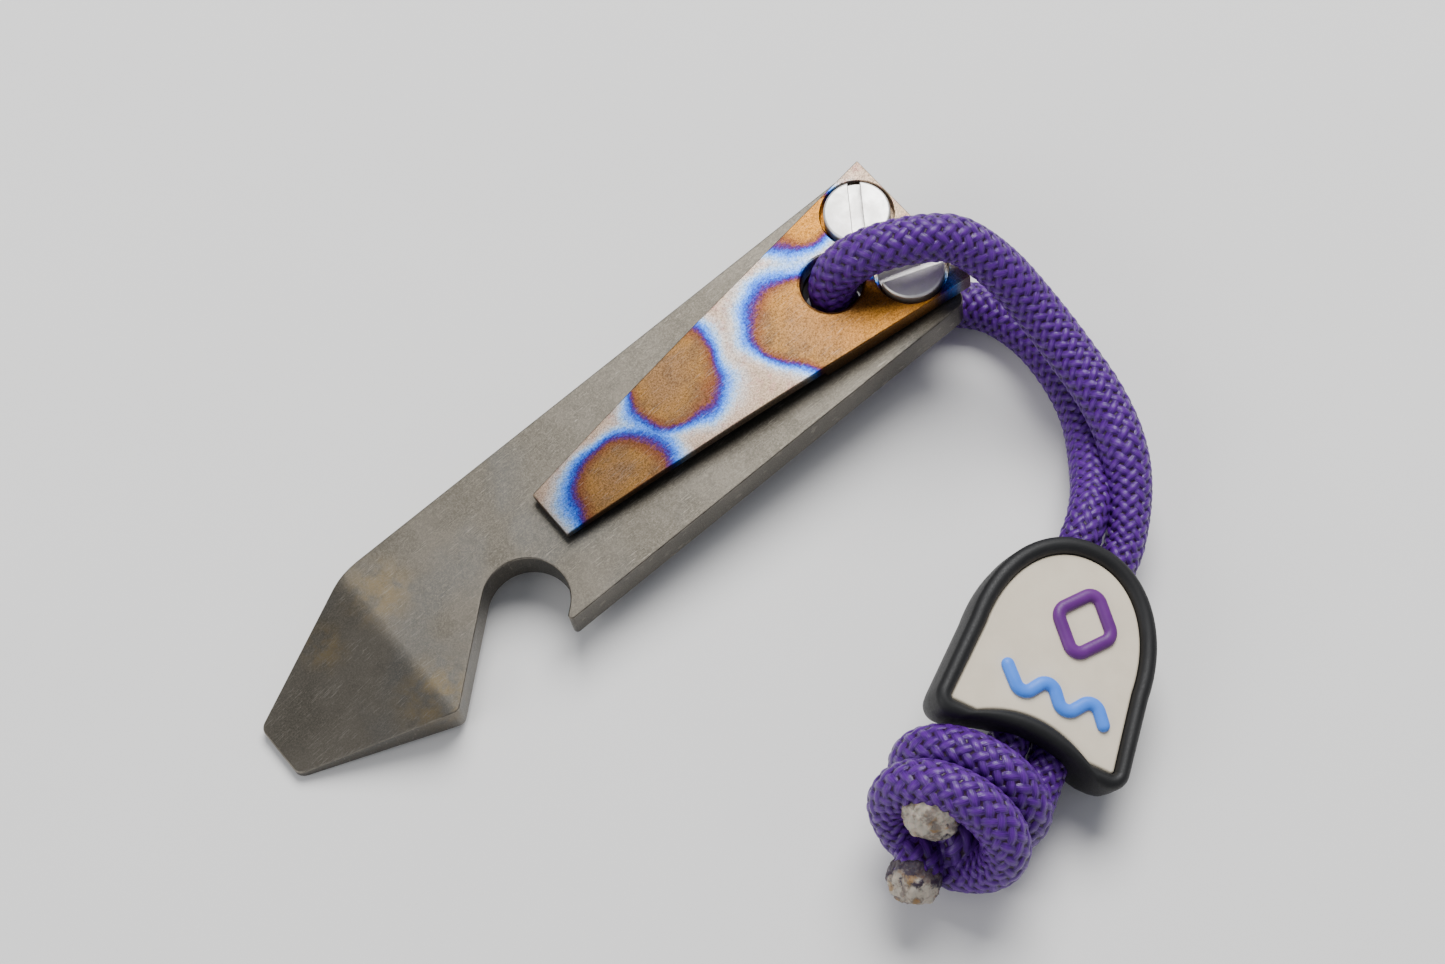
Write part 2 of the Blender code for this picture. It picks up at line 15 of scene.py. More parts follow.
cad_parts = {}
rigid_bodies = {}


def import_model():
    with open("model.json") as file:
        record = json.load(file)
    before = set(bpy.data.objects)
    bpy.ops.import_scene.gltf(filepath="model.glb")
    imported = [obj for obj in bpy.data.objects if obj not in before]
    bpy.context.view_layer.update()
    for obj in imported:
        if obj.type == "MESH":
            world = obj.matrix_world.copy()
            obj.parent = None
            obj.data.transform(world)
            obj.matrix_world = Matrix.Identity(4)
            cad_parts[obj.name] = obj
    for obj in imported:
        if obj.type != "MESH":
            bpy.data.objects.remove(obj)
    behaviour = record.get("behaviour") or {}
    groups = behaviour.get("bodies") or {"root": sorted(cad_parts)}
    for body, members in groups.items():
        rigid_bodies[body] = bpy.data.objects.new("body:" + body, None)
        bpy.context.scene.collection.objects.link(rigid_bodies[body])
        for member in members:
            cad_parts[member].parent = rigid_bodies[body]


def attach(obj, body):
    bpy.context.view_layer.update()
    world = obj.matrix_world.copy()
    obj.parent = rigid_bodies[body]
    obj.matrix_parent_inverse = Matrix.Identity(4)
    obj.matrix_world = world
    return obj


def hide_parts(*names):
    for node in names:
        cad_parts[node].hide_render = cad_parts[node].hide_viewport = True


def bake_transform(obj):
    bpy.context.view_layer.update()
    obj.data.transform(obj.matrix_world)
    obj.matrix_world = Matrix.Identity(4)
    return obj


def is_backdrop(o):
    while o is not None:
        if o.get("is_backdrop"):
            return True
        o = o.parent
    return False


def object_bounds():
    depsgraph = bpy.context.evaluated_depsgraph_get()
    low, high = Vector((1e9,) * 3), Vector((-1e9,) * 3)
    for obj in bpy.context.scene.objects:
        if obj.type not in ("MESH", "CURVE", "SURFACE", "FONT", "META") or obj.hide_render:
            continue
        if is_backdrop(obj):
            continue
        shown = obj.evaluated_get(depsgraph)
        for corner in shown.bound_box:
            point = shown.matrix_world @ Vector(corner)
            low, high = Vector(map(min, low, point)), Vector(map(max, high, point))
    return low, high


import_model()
cad_box = [list(corner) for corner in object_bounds()]

# %% [markdown]
# ## The places
# The bar has a frame of its own: X from the pry tip to the lanyard end, Z up from its flat
# underside. It lies with its tip on the table and its other end on the cord, so that frame is
# pitched. The bead and the knot have their own frames too, with X along the cord.

# %% Driving sizes and frames
MM = 0.001  # every size below is in millimetres
GAP = 0.3  # the room left between parts
BODY_LENGTH, BODY_WIDTH, BODY_THICK = 68.2, 16.0, 3.5
HOLE_FROM_END, HOLE_RADIUS = 8.2, 2.6
CORD_DIAMETER = 4.0
CLIP_OVERHANG, CLIP_LENGTH, CLIP_RISE = 0.9, 39.8, 2.3
SCREW_HEAD, SHANK_RADIUS = 2.85, 1.5
HALF_WIDTH = BODY_WIDTH / 2
HOLE_X = BODY_LENGTH - HOLE_FROM_END
CLIP_END = BODY_LENGTH + CLIP_OVERHANG
HEAD_HOLE, SHANK_HOLE = SCREW_HEAD + GAP, SHANK_RADIUS + GAP
SCREW_X = CLIP_END - 0.15 - HEAD_HOLE  # leaves a thin wall behind each head's pocket
SCREW_SPACING = 2 * HEAD_HOLE + 0.7
SCREW_SPOTS = [(SCREW_X, side * SCREW_SPACING / 2) for side in (1, -1)]
PITCH = math.atan((CORD_DIAMETER + GAP) / (HOLE_X - HOLE_RADIUS))
X_MIDDLE = (CLIP_END * math.cos(PITCH) - BODY_THICK * math.sin(PITCH)) / 2
HOLE_FOOT = HOLE_X * math.cos(PITCH) - X_MIDDLE

SCALE = Matrix.Scale(MM, 4)
BAR = SCALE @ Matrix.Translation((-X_MIDDLE, 0, 0)) @ Matrix.Rotation(-PITCH, 4, "Y")
LANYARD = SCALE @ Matrix.Translation((HOLE_FOOT, 0, 0))
BEAD = (
    LANYARD
    @ Matrix.Translation((-14.45, -39.6, 5.8))
    @ Matrix.Rotation(math.radians(30), 4, "Z")
    @ Matrix.Rotation(math.radians(20), 4, "X")
)
KNOT = (
    LANYARD
    @ Matrix.Translation((-20.1, -40.1, 6.35))
    @ Matrix.Rotation(math.radians(203), 4, "Z")
    @ Matrix.Rotation(math.radians(-21), 4, "Y")
)
print(f"bar pitched {math.degrees(PITCH):.2f} degrees")

# %% [markdown]
# ## The camera
# A long lens looks down on the object from the left of the pry tip, high enough to see the top
# faces almost flat on and just low enough to see the near sides.

# %% Camera
lens = bpy.data.cameras.new("camera")
lens.lens = 74.74
lens.sensor_width = 36.0
lens.clip_start = 0.01
camera = bpy.data.objects.new("camera", lens)
bpy.context.scene.collection.objects.link(camera)
right, up = Vector((0.772, -0.635, -0.034)), Vector((0.590, 0.695, 0.410))
right.normalize()
back = right.cross(up).normalized()
up = back.cross(right)
camera.matrix_world = Matrix.Translation((-0.05158, -0.09072, 0.23358)) @ Matrix(
    (right, up, back)
).transposed().to_4x4()
bpy.context.scene.camera = camera
print("camera elevation", round(math.degrees(math.asin(back.z)), 1))

# %% [markdown]
# ## Helpers for shapes
# A piece is modelled in its own frame in millimetres, and its place goes into its mesh at the
# end, so every object sits unturned at the origin. Holes are Boolean cuts whose result replaces
# the mesh at once, so no cutter stays behind.


# %% Finish a bmesh as an object
MERGE = 1e-4  # points closer than this, in mm, become one


def shown(name, data):
    made = bpy.data.objects.new(name, data)
    bpy.context.scene.collection.objects.link(made)
    return made


def piece_from(shape, name, place, sharp=35, weighted=False):
    bmesh.ops.remove_doubles(shape, verts=shape.verts, dist=MERGE)
    bmesh.ops.recalc_face_normals(shape, faces=shape.faces)
    data = bpy.data.meshes.new(name)
    shape.to_mesh(data)
    shape.free()
    data.transform(place)
    made = shown(name, data)
    smooth(made, sharp, weighted)
    return made


def smooth(piece, sharp, weighted=False):
    piece.data.shade_smooth()
    piece.data.set_sharp_from_angle(angle=math.radians(sharp))
    if weighted:
        even = piece.modifiers.new("even_normals", "WEIGHTED_NORMAL")
        even.keep_sharp = True


def evaluated(thing):
    """A new mesh of an object as its modifiers or its curve leave it."""
    bpy.context.view_layer.update()
    graph = bpy.context.evaluated_depsgraph_get()
    return bpy.data.meshes.new_from_object(thing.evaluated_get(graph))


def carve(piece, cutters, place, sharp=35, weighted=False):
    """Cuts each bmesh out of the piece, all in the frame that place gives."""
    piece.modifiers.clear()
    tools = []
    for shape in cutters:
        tool = piece_from(shape, "cutter", place)
        step = piece.modifiers.new("cut", "BOOLEAN")
        step.operation = "DIFFERENCE"
        step.solver = "EXACT"
        step.object = tool
        tools.append(tool)
    cut = evaluated(piece)
    piece.modifiers.clear()
    piece.data = cut
    cut.name = piece.name
    for tool in tools:
        bpy.data.objects.remove(tool)
    smooth(piece, sharp, weighted)
    return piece


def drawn_out(corners, way):
    """A solid made by pushing a flat face through the vector way."""
    shape = bmesh.new()
    face = shape.faces.new([shape.verts.new(corner) for corner in corners])
    walls = bmesh.ops.extrude_face_region(shape, geom=[face])
    far = [v for v in walls["geom"] if isinstance(v, bmesh.types.BMVert)]
    bmesh.ops.translate(shape, verts=far, vec=way)
    bmesh.ops.recalc_face_normals(shape, faces=shape.faces)
    return shape


def prism(points, low, high):
    return drawn_out([(p[0], p[1], low) for p in points], (0, 0, high - low))


def rotate(shape, matrix):
    bmesh.ops.rotate(shape, verts=shape.verts, cent=(0, 0, 0), matrix=matrix)


def turned(profile, steps, where=(0, 0)):
    """A solid spun about Z from (radius, height) points, moved to a place."""
    shape = bmesh.new()
    verts = [shape.verts.new((radius, 0, height)) for radius, height in profile]
    edges = [shape.edges.new(pair) for pair in zip(verts, verts[1:])]
    bmesh.ops.spin(
        shape, geom=verts + edges, cent=(0, 0, 0), axis=(0, 0, 1),
        angle=math.tau, steps=steps, use_merge=True,
    )
    bmesh.ops.remove_doubles(shape, verts=shape.verts, dist=MERGE)
    bmesh.ops.translate(shape, verts=shape.verts, vec=(*where, 0))
    return shape


def rounded_edges(shape, radius, segments, wanted):
    bmesh.ops.bevel(
        shape, geom=[e for e in shape.edges if wanted(e)], offset=radius, segments=segments,
        profile=0.5, affect="EDGES", material=-1, clamp_overlap=True,
    )


def rounded(corners, step=math.radians(6)):
    """Outline points from (x, y, radius) corners, each corner an arc of that radius."""
    points = []
    for i, (x, y, radius) in enumerate(corners):
        here = Vector((x, y))
        if radius == 0:
            points.append(here)
            continue
        behind = (Vector(corners[i - 1][:2]) - here).normalized()
        ahead = (Vector(corners[(i + 1) % len(corners)][:2]) - here).normalized()
        half = behind.angle(ahead) / 2
        reach = radius / math.tan(half)
        centre = here + (behind + ahead).normalized() * radius / math.sin(half)
        start = here + behind * reach - centre
        turn = start.angle_signed(here + ahead * reach - centre)
        count = max(1, math.ceil(abs(turn) / step))
        for k in range(count + 1):
            spoke = start.copy()
            spoke.rotate(Matrix.Rotation(-turn * k / count, 2))
            points.append(centre + spoke)
    return points


def declare(piece, finish, cad_node, body):
    """Gives a piece its material, and says which solid it replaces and which body carries it."""
    piece.data.materials.append(finish)
    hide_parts(cad_node)
    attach(piece, body)


FLAT_TO_ACROSS = Matrix(((0, 0, 1), (1, 0, 0), (0, 1, 0)))  # X to Y, Y to Z, Z to X
print("shape helpers ready")

# %% [markdown]
# ## Helpers for materials
# Node trees read best when each node is one line. `node` makes a node, sets its options and
# plugs values or other sockets into its inputs. The Principled shader stays in each material.


# %% Node helpers
def plug(tree, made, inputs):
    """Links each input to a socket, or sets it to a value."""
    for key, value in inputs.items():
        if isinstance(value, bpy.types.NodeSocket):
            tree.links.new(value, made.inputs[key])
        else:
            made.inputs[key].default_value = value


def node(tree, kind, inputs=None, **options):
    made = tree.nodes.new("ShaderNode" + kind)
    for key, value in options.items():
        setattr(made, key, value)
    plug(tree, made, inputs or {})
    return made


def maths(tree, operation, *values, clamp=False):
    inputs = dict(enumerate(values))
    return node(tree, "Math", inputs, operation=operation, use_clamp=clamp).outputs[0]


def times(tree, first, second):
    return maths(tree, "MULTIPLY", first, second)


def vector(tree, operation, first, second=None, **more):
    inputs = {0: first, **more} if second is None else {0: first, 1: second}
    made = node(tree, "VectorMath", inputs, operation=operation)
    number = operation in ("DISTANCE", "LENGTH", "DOT_PRODUCT")
    return made.outputs["Value" if number else "Vector"]


def mapped(tree, where, kind="POINT", **values):
    """Coordinates moved, turned and scaled by values; the kind TEXTURE undoes them instead."""
    return node(tree, "Mapping", {"Vector": where, **values}, vector_type=kind).outputs[0]


def mixed(tree, share, first, second):
    """A colour between two others; colours are (r, g, b) or sockets."""
    first, second = (c if isinstance(c, bpy.types.NodeSocket) else (*c, 1) for c in (first, second))
    return node(tree, "Mix", {0: share, 6: first, 7: second}, data_type="RGBA").outputs[2]


def spread(tree, value, low, high, to_low=0.0, to_high=1.0):
    """A value's stretch from low to high, mapped smoothly."""
    inputs = {0: value, 1: low, 2: high, 3: to_low, 4: to_high}
    return node(tree, "MapRange", inputs, interpolation_type="SMOOTHSTEP").outputs[0]


def cloud(tree, where, scale, detail=3.0, rough=0.55, **more):
    inputs = {"Vector": where, "Scale": scale, "Detail": detail, "Roughness": rough, **more}
    return node(tree, "TexNoise", inputs).outputs["Fac"]


def patches(tree, where, size, *limits, **more):
    """Noise as soft patches: size is its scale, detail and roughness, limits go to spread."""
    return spread(tree, cloud(tree, where, *size, **more), *limits)


def ramp(tree, value, stops):
    made = node(tree, "ValToRGB", {0: value})
    points = made.color_ramp.elements
    while len(points) < len(stops):
        points.new(0.5)
    for point, (place, colour) in zip(points, stops):
        point.position = place
        point.color = (*colour, 1)
    return made.outputs[0]


def new_finish(name, **values):
    """A material with its tree and its Principled shader; values set the shader's own sockets."""
    made = bpy.data.materials.new(name)
    made.use_nodes = True
    shader = made.node_tree.nodes["Principled BSDF"]
    for key, value in values.items():
        shader.inputs[key.replace("_", " ")].default_value = value
    return made, made.node_tree, shader


def new_group(name, outputs, inputs=()):
    """An empty node group; outputs and inputs are (name, kind, default) triples."""
    tree = bpy.data.node_groups.new(name, "ShaderNodeTree")
    for way, sockets in (("INPUT", inputs), ("OUTPUT", outputs)):
        for label, kind, default in sockets:
            socket = tree.interface.new_socket(label, in_out=way, socket_type="NodeSocket" + kind)
            if default is not None:
                socket.default_value = default
    return tree, tree.nodes.new("NodeGroupInput"), tree.nodes.new("NodeGroupOutput")


def bar_millimetres(tree):
    """Object coordinates as millimetres in the bar's own frame."""
    where = node(tree, "TexCoord").outputs["Object"]
    place, turn = (-X_MIDDLE * MM, 0, 0), (0, -PITCH, 0)
    return mapped(tree, where, "TEXTURE", Location=place, Rotation=turn, Scale=(MM, MM, MM))


def millimetres(tree):
    where = node(tree, "TexCoord").outputs["Object"]
    return mapped(tree, where, Scale=(1000, 1000, 1000))


def surface(tree, shader, colour, roughness, height, distance, strength):
    """Plugs a finish's colour, roughness and bump into its shader."""
    bump = node(tree, "Bump", {"Height": height, "Distance": distance * MM, "Strength": strength})
    plug(tree, shader, {"Base Color": colour, "Roughness": roughness, "Normal": bump.outputs[0]})


print("node helpers ready")

# %% [markdown]
# ## Metal grain and scratches
# Both titanium pieces were tumbled in stones, which leaves a fine pebbled grain crossed by
# hair-thin scratches at every angle. Stretched noise makes one scratch direction, and three
# directions, each broken up by a second noise, look like wear and not like brushing.

# %% Grain and scratches as one group
tumbled, take, give = new_group(
    "tumbled_metal",
    [("Grain", "Float", None), ("Scratches", "Float", None)],
    [("Vector", "Vector", None), ("Scratch amount", "Float", 0.5)],
)
where = take.outputs["Vector"]
coarse = times(tumbled, cloud(tumbled, where, 7.0, 4.0, 0.7), 0.6)
fine = times(tumbled, cloud(tumbled, where, 22.0, 2.0, 0.6), 0.4)
lines = None
for turn, stretch, offset in ((18, 26.0, 0.0), (-35, 30.0, 7.0), (74, 22.0, 13.0), (4, 34.0, 29.0)):
    turned_round = mapped(
        tumbled, where, Location=(offset, 0, 0), Rotation=(0, 0, math.radians(turn)),
        Scale=(0.75, stretch * 0.5, 1.0),
    )
    streak = patches(tumbled, turned_round, (1.0, 1.0, 0.4), 0.655, 0.73)
    patch = mapped(tumbled, where, Location=(0, offset, 0))
    broken = times(tumbled, streak, patches(tumbled, patch, (0.35, 2.0), 0.45, 0.62))
    lines = broken if lines is None else maths(tumbled, "MAXIMUM", lines, broken)
lines = times(tumbled, lines, take.outputs["Scratch amount"])
plug(tumbled, give, {"Grain": maths(tumbled, "ADD", coarse, fine), "Scratches": lines})
print("tumbled_metal group:", len(tumbled.nodes), "nodes")

# %% [markdown]
# ## Tumbled titanium
# The bar is a warm olive grey, a little blue in places and a lighter straw-yellow in patches,
# mostly round the head's two corners. Its rounded edges are lighter, partly worn bright and
# partly a painted highlight along the bevels, so the mesh carries a mask that marks them.


# %% Titanium finish
def tumbled_titanium():
    made, tree, shader = new_finish("tumbled_titanium", Metallic=1.0, Roughness=0.42)
    where = bar_millimetres(tree)
    worn = node(tree, "Group", {"Vector": where, "Scratch amount": 0.85}, node_tree=tumbled)
    grain_mask, scratch = worn.outputs["Grain"], worn.outputs["Scratches"]
    tone = patches(tree, where, (0.16, 3.0), 0.38, 0.64)
    colour = mixed(tree, tone, (0.078, 0.070, 0.056), (0.106, 0.095, 0.078))
    cool = patches(tree, where, (0.11, 2.0, 0.5), 0.52, 0.70, 0.0, 0.5, Distortion=0.6)
    colour = mixed(tree, cool, colour, (0.080, 0.083, 0.083))
    for x, y, reach in ((14.5, 4.6, 4.2), (12.6, -5.6, 4.6), (8.0, 4.0, 3.0)):
        off = vector(tree, "DISTANCE", where, (x, y, BODY_THICK))
        glow = spread(tree, off, reach, 0.6, 0.0, 0.5)
        glow = times(tree, glow, patches(tree, where, (0.7, 3.0), 0.35, 0.6))
        colour = mixed(tree, glow, colour, (0.215, 0.150, 0.058))
    colour = mixed(tree, spread(tree, grain_mask, 0.42, 0.64, 0.0, 0.8), colour, (0.158, 0.142, 0.116))
    stain = patches(tree, where, (1.1, 5.0, 0.7), 0.50, 0.68, 0.0, 0.28)
    colour = mixed(tree, stain, colour, (0.066, 0.060, 0.050))
    colour = mixed(tree, times(tree, scratch, 0.4), colour, (0.34, 0.31, 0.26))
    # The bevel faces are lighter: partly edge wear, partly a painted highlight along the rims.
    rim = node(tree, "Attribute", attribute_name="rubbed_and_highlit").outputs["Fac"]
    rim = times(tree, rim, patches(tree, where, (1.3, 3.0), 0.3, 0.6, 0.1, 0.6))
    colour = mixed(tree, rim, colour, (0.25, 0.225, 0.19))
    rough = spread(tree, grain_mask, 0.3, 0.7, 0.47, 0.36)
    rough = maths(tree, "SUBTRACT", rough, times(tree, rim, 0.08))
    height = maths(tree, "SUBTRACT", grain_mask, times(tree, scratch, 0.6))
    surface(tree, shader, colour, rough, height, 0.03, 0.4)
    return made


titanium = tumbled_titanium()
print(titanium.name)

# %% [markdown]
# ## The bar
# The bar is cut from plate: one outline with a pointed head, a hooked notch in the right side
# and rounded end corners. A hooked notch has a straight jaw that slopes in from the head, a
# round seat, and a tooth that catches the cap. The head is ground to a wedge on its top face
# only, so the plate is sliced across the crease and its top points lowered.

# %% The bar's outline
NOTCH_X, NOTCH_INSET, NOTCH_RADIUS = 23.25, 3.85, 3.7
JAW_ANGLE, HOOK_ANGLE = math.radians(41), math.radians(-50)
TIP_WIDTH, TIP_THICK, TIP_CORNER = 5.2, 1.0, 0.9
SHOULDER_X, SHOULDER_CORNER, JAW_CORNER, TOOTH_CORNER, END_CORNER = 13.2, 8.0, 0.8, 0.35, 1.2
CREASE_X, CREASE_SOFT, RIM_RADIUS = 12.4, 0.9, 0.3


def head_height(x):
    """Level up to the crease, then a straight wedge down to the tip, softly joined."""
    slope = (BODY_THICK - TIP_THICK) / CREASE_X
    into = CREASE_X + CREASE_SOFT - x
    if into <= 0:
        return BODY_THICK
    if into < 2 * CREASE_SOFT:
        return BODY_THICK - slope * into**2 / (4 * CREASE_SOFT)
    return BODY_THICK - slope * (CREASE_X - x)


def bar_outline():
    notch_y = NOTCH_INSET - HALF_WIDTH
    first = math.pi / 2 + JAW_ANGLE
    turn = HOOK_ANGLE - first
    seat = []
    for angle in [first + turn * k / 48 for k in range(49)]:
        across, up = NOTCH_RADIUS * math.cos(angle), NOTCH_RADIUS * math.sin(angle)
        seat.append((NOTCH_X + across, notch_y + up, 0))
    jaw_foot = seat[0][0] - (seat[0][1] + HALF_WIDTH) / math.tan(JAW_ANGLE)
    tooth = seat[-1][0] - (seat[-1][1] + HALF_WIDTH) / math.tan(HOOK_ANGLE + math.pi / 2)
    return rounded([
        (0, -TIP_WIDTH / 2, TIP_CORNER), (jaw_foot, -HALF_WIDTH, JAW_CORNER), *seat,
        (tooth, -HALF_WIDTH, TOOTH_CORNER), (BODY_LENGTH, -HALF_WIDTH, END_CORNER),
        (BODY_LENGTH, HALF_WIDTH, END_CORNER), (SHOULDER_X, HALF_WIDTH, SHOULDER_CORNER),
        (0, TIP_WIDTH / 2, TIP_CORNER),
    ])


print(len(bar_outline()), "points round the bar")


# %% Plate, wedge, rims and holes
def on_a_rim(edge):
    """Whether an edge runs round the top or the bottom face, and isn't an upright or a crease."""
    a, b = (v.co for v in edge.verts)
    return edge.calc_face_angle(0) > math.radians(50) and abs(a.z - b.z) < 0.8 * (a - b).length


def bore(radius, chamfer, low, high, where, over=1.0):
    """A cutter for a hole with softly flared mouths; it stands out of both faces by over."""
    mouth = [
        (radius + chamfer * (1 - math.cos(t)), chamfer * (1 - math.sin(t)))
        for t in (0, math.pi / 6, math.pi / 3, math.pi / 2)
    ]
    wide = radius + chamfer + over
    top = [(0, high + over), (wide, high + over), *[(r, high - d) for r, d in reversed(mouth)]]
    bottom = [*[(r, low + d) for r, d in mouth], (wide, low - over), (0, low - over)]
    return turned(top + bottom, 72, where)


# The faces this marks are coloured lighter in the titanium finish: edge wear and a painted highlight.
def mark_rubbed_and_highlit(piece, place, upright=0.12, flat=0.93):
    """A mask of the faces that lean between the flat ones and the upright walls."""
    axis = (place.to_3x3() @ Vector((0, 0, 1))).normalized()
    mask = piece.data.attributes.new("rubbed_and_highlit", "FLOAT", "FACE")
    leans = [abs(p.normal.dot(axis)) for p in piece.data.polygons]
    mask.data.foreach_set("value", [1.0 if upright < lean < flat else 0.0 for lean in leans])


def make_bar():
    shape = prism(bar_outline(), 0, BODY_THICK)
    for k in range(-4, 5):
        bmesh.ops.bisect_plane(
            shape, geom=shape.verts[:] + shape.edges[:] + shape.faces[:],
            plane_co=(CREASE_X + CREASE_SOFT * k / 4, 0, 0), plane_no=(1, 0, 0),
        )
    for v in shape.verts:
        if v.co.z > BODY_THICK / 2:
            v.co.z = head_height(v.co.x)
    rounded_edges(shape, RIM_RADIUS, 4, on_a_rim)
    bar = piece_from(shape, "pry_bar", BAR)
    cutters = [bore(HOLE_RADIUS, 0.35, 0, BODY_THICK, (HOLE_X, 0))]
    cutters += [bore(SHANK_HOLE, 0.15, 0, BODY_THICK, spot) for spot in SCREW_SPOTS]
    carve(bar, cutters, BAR, 30, weighted=True)
    mark_rubbed_and_highlit(bar, BAR)
    return bar


bar = make_bar()
declare(bar, titanium, "pry_bar_body", "bar")
print("bar:", len(bar.data.polygons), "faces")

# %% [markdown]
# ## Flame-anodised titanium
# Heat grows a clear oxide skin on titanium, and its thickness sets the colour: straw, bronze,
# purple, deep blue, light blue and pale straw again. A torch leaves islands of bronze edged with
# blue. Each island is a warped ellipse whose value says how deep inside it a point lies, the
# deepest value of all of them wins, and one colour ramp turns that into the skin's colours.

# %% Anodised finish
ISLANDS = (  # centre x, y, half length, half width, turn in degrees, in the clip's own plane
    (35.5, -1.7, 4.5, 3.2, -6),
    (44.3, 2.6, 4.2, 4.8, -14),
    (57.3, -2.4, 6.9, 4.3, -50),
    (62.2, 6.6, 4.0, 3.3, 14),
    (62.4, -6.4, 4.8, 3.4, 4),
)
SKIN = (  # depth into an island in mm, and the colour there
    (-2.8, (0.270, 0.196, 0.132)), (-1.7, (0.305, 0.225, 0.170)), (-1.10, (0.320, 0.300, 0.285)),
    (-0.72, (0.190, 0.300, 0.470)), (-0.34, (0.040, 0.155, 0.54)), (0.00, (0.014, 0.040, 0.28)),
    (0.28, (0.042, 0.013, 0.090)), (0.62, (0.105, 0.036, 0.018)), (1.5, (0.170, 0.086, 0.026)),
    (3.2, (0.150, 0.082, 0.036)),
)


SQUARENESS = 2.6  # 2 would make each island an ellipse
WANDER = 4.0  # mm; the islands' edges stray by up to half of it each way


def anodised_titanium():
    made, tree, shader = new_finish("anodised_titanium", Metallic=1.0, Roughness=0.36)
    flat = node(tree, "UVMap", uv_map="flat").outputs[0]
    warp = node(tree, "TexNoise", {"Vector": flat, "Scale": 0.19, "Detail": 1.0, "Roughness": 0.5})
    warp = vector(tree, "ADD", warp.outputs["Color"], (-0.5, -0.5, -0.5))
    warp = vector(tree, "SCALE", warp, Scale=WANDER)
    where = vector(tree, "ADD", flat, warp)
    depth = None
    for x, y, long, wide, turn in ISLANDS:
        local = mapped(
            tree, where, "TEXTURE", Location=(x, y, 0), Rotation=(0, 0, math.radians(turn)),
            Scale=(long, wide, 1),
        )
        parts = node(tree, "SeparateXYZ", {0: local})
        sizes = [maths(tree, "ABSOLUTE", parts.outputs[k]) for k in (0, 1)]
        powers = [maths(tree, "POWER", size, SQUARENESS) for size in sizes]
        off = maths(tree, "POWER", maths(tree, "ADD", *powers), 1 / SQUARENESS)
        inside = times(tree, maths(tree, "SUBTRACT", 1.0, off), (long + wide) / 2)
        depth = inside if depth is None else maths(tree, "SMOOTH_MAX", depth, inside, 0.5)
    speckle = patches(tree, flat, (3.4, 4.0, 0.75), 0.3, 0.7, -0.16, 0.16)
    depth = maths(tree, "ADD", depth, speckle)
    low, high = SKIN[0][0], SKIN[-1][0]
    share = node(tree, "MapRange", {0: depth, 1: low, 2: high}).outputs[0]
    colour = ramp(tree, share, [((d - low) / (high - low), c) for d, c in SKIN])
    inputs = {"Vector": bar_millimetres(tree), "Scratch amount": 0.35}
    worn = node(tree, "Group", inputs, node_tree=tumbled)
    grain_mask, scratch = worn.outputs["Grain"], worn.outputs["Scratches"]
    pale = spread(tree, depth, -0.6, -1.4)
    blush = patches(tree, flat, (1.1, 5.0, 0.75), 0.5, 0.66, 0.0, 0.7)
    colour = mixed(tree, times(tree, pale, blush), colour, (0.25, 0.135, 0.115))
    smoke = patches(tree, flat, (0.5, 4.0, 0.6), 0.42, 0.66, 0.0, 0.6)
    smoke = times(tree, smoke, spread(tree, depth, 0.4, 1.2))
    colour = mixed(tree, smoke, colour, (0.085, 0.052, 0.030))
    gold = spread(tree, node(tree, "SeparateXYZ", {0: flat}).outputs[0], 52, 64, 0.0, 0.6)
    gold = times(tree, gold, spread(tree, depth, 0.5, 1.6))
    colour = mixed(tree, gold, colour, (0.40, 0.155, 0.010))
    tone = spread(tree, grain_mask, 0.38, 0.62, 0.50, 1.42)
    tinted = vector(tree, "SCALE", colour, Scale=tone)
    colour = mixed(tree, times(tree, scratch, 0.4), tinted, (0.56, 0.50, 0.43))
    rough = spread(tree, grain_mask, 0.3, 0.7, 0.43, 0.31)
    height = maths(tree, "SUBTRACT", grain_mask, times(tree, scratch, 0.4))
    surface(tree, shader, colour, rough, height, 0.03, 0.7)
    return made


flame = anodised_titanium()
print("islands:", len(ISLANDS))

# %% [markdown]
# ## The pocket clip
# The real clip is one piece: a block under the screws, and a thin arm milled free of the bar
# that bends as a pocket's edge slides under it. It is drawn from the side as one closed profile,
# pushed out across the bar, narrowed towards the tip, and then drilled.

# %% The clip
CLIP_BLOCK, CLIP_TIP_WIDTH, CLIP_FLARE = 14.9, 4.7, 10.0
CLIP_TIP, CLIP_ROOT = CLIP_END - CLIP_LENGTH, CLIP_END - CLIP_BLOCK
CLIP_BOTTOM, CLIP_TOP = BODY_THICK + GAP, BODY_THICK + CLIP_RISE
ARM_ROOT_THICK, ARM_TIP_THICK, CLIP_TIP_RISE = 1.2, 0.8, 1.2


def clip_half_width(x):
    share = (x - CLIP_TIP) / CLIP_LENGTH
    return (CLIP_TIP_WIDTH + CLIP_FLARE * share) / 2


def arm_top(x):
    share = max(0.0, (CLIP_ROOT - x) / (CLIP_ROOT - CLIP_TIP))
    return CLIP_TOP - (CLIP_RISE - CLIP_TIP_RISE) * share**2


def arm_bottom(x):
    share = (CLIP_ROOT - x) / (CLIP_ROOT - CLIP_TIP)
    return arm_top(x) - ARM_ROOT_THICK + (ARM_ROOT_THICK - ARM_TIP_THICK) * share


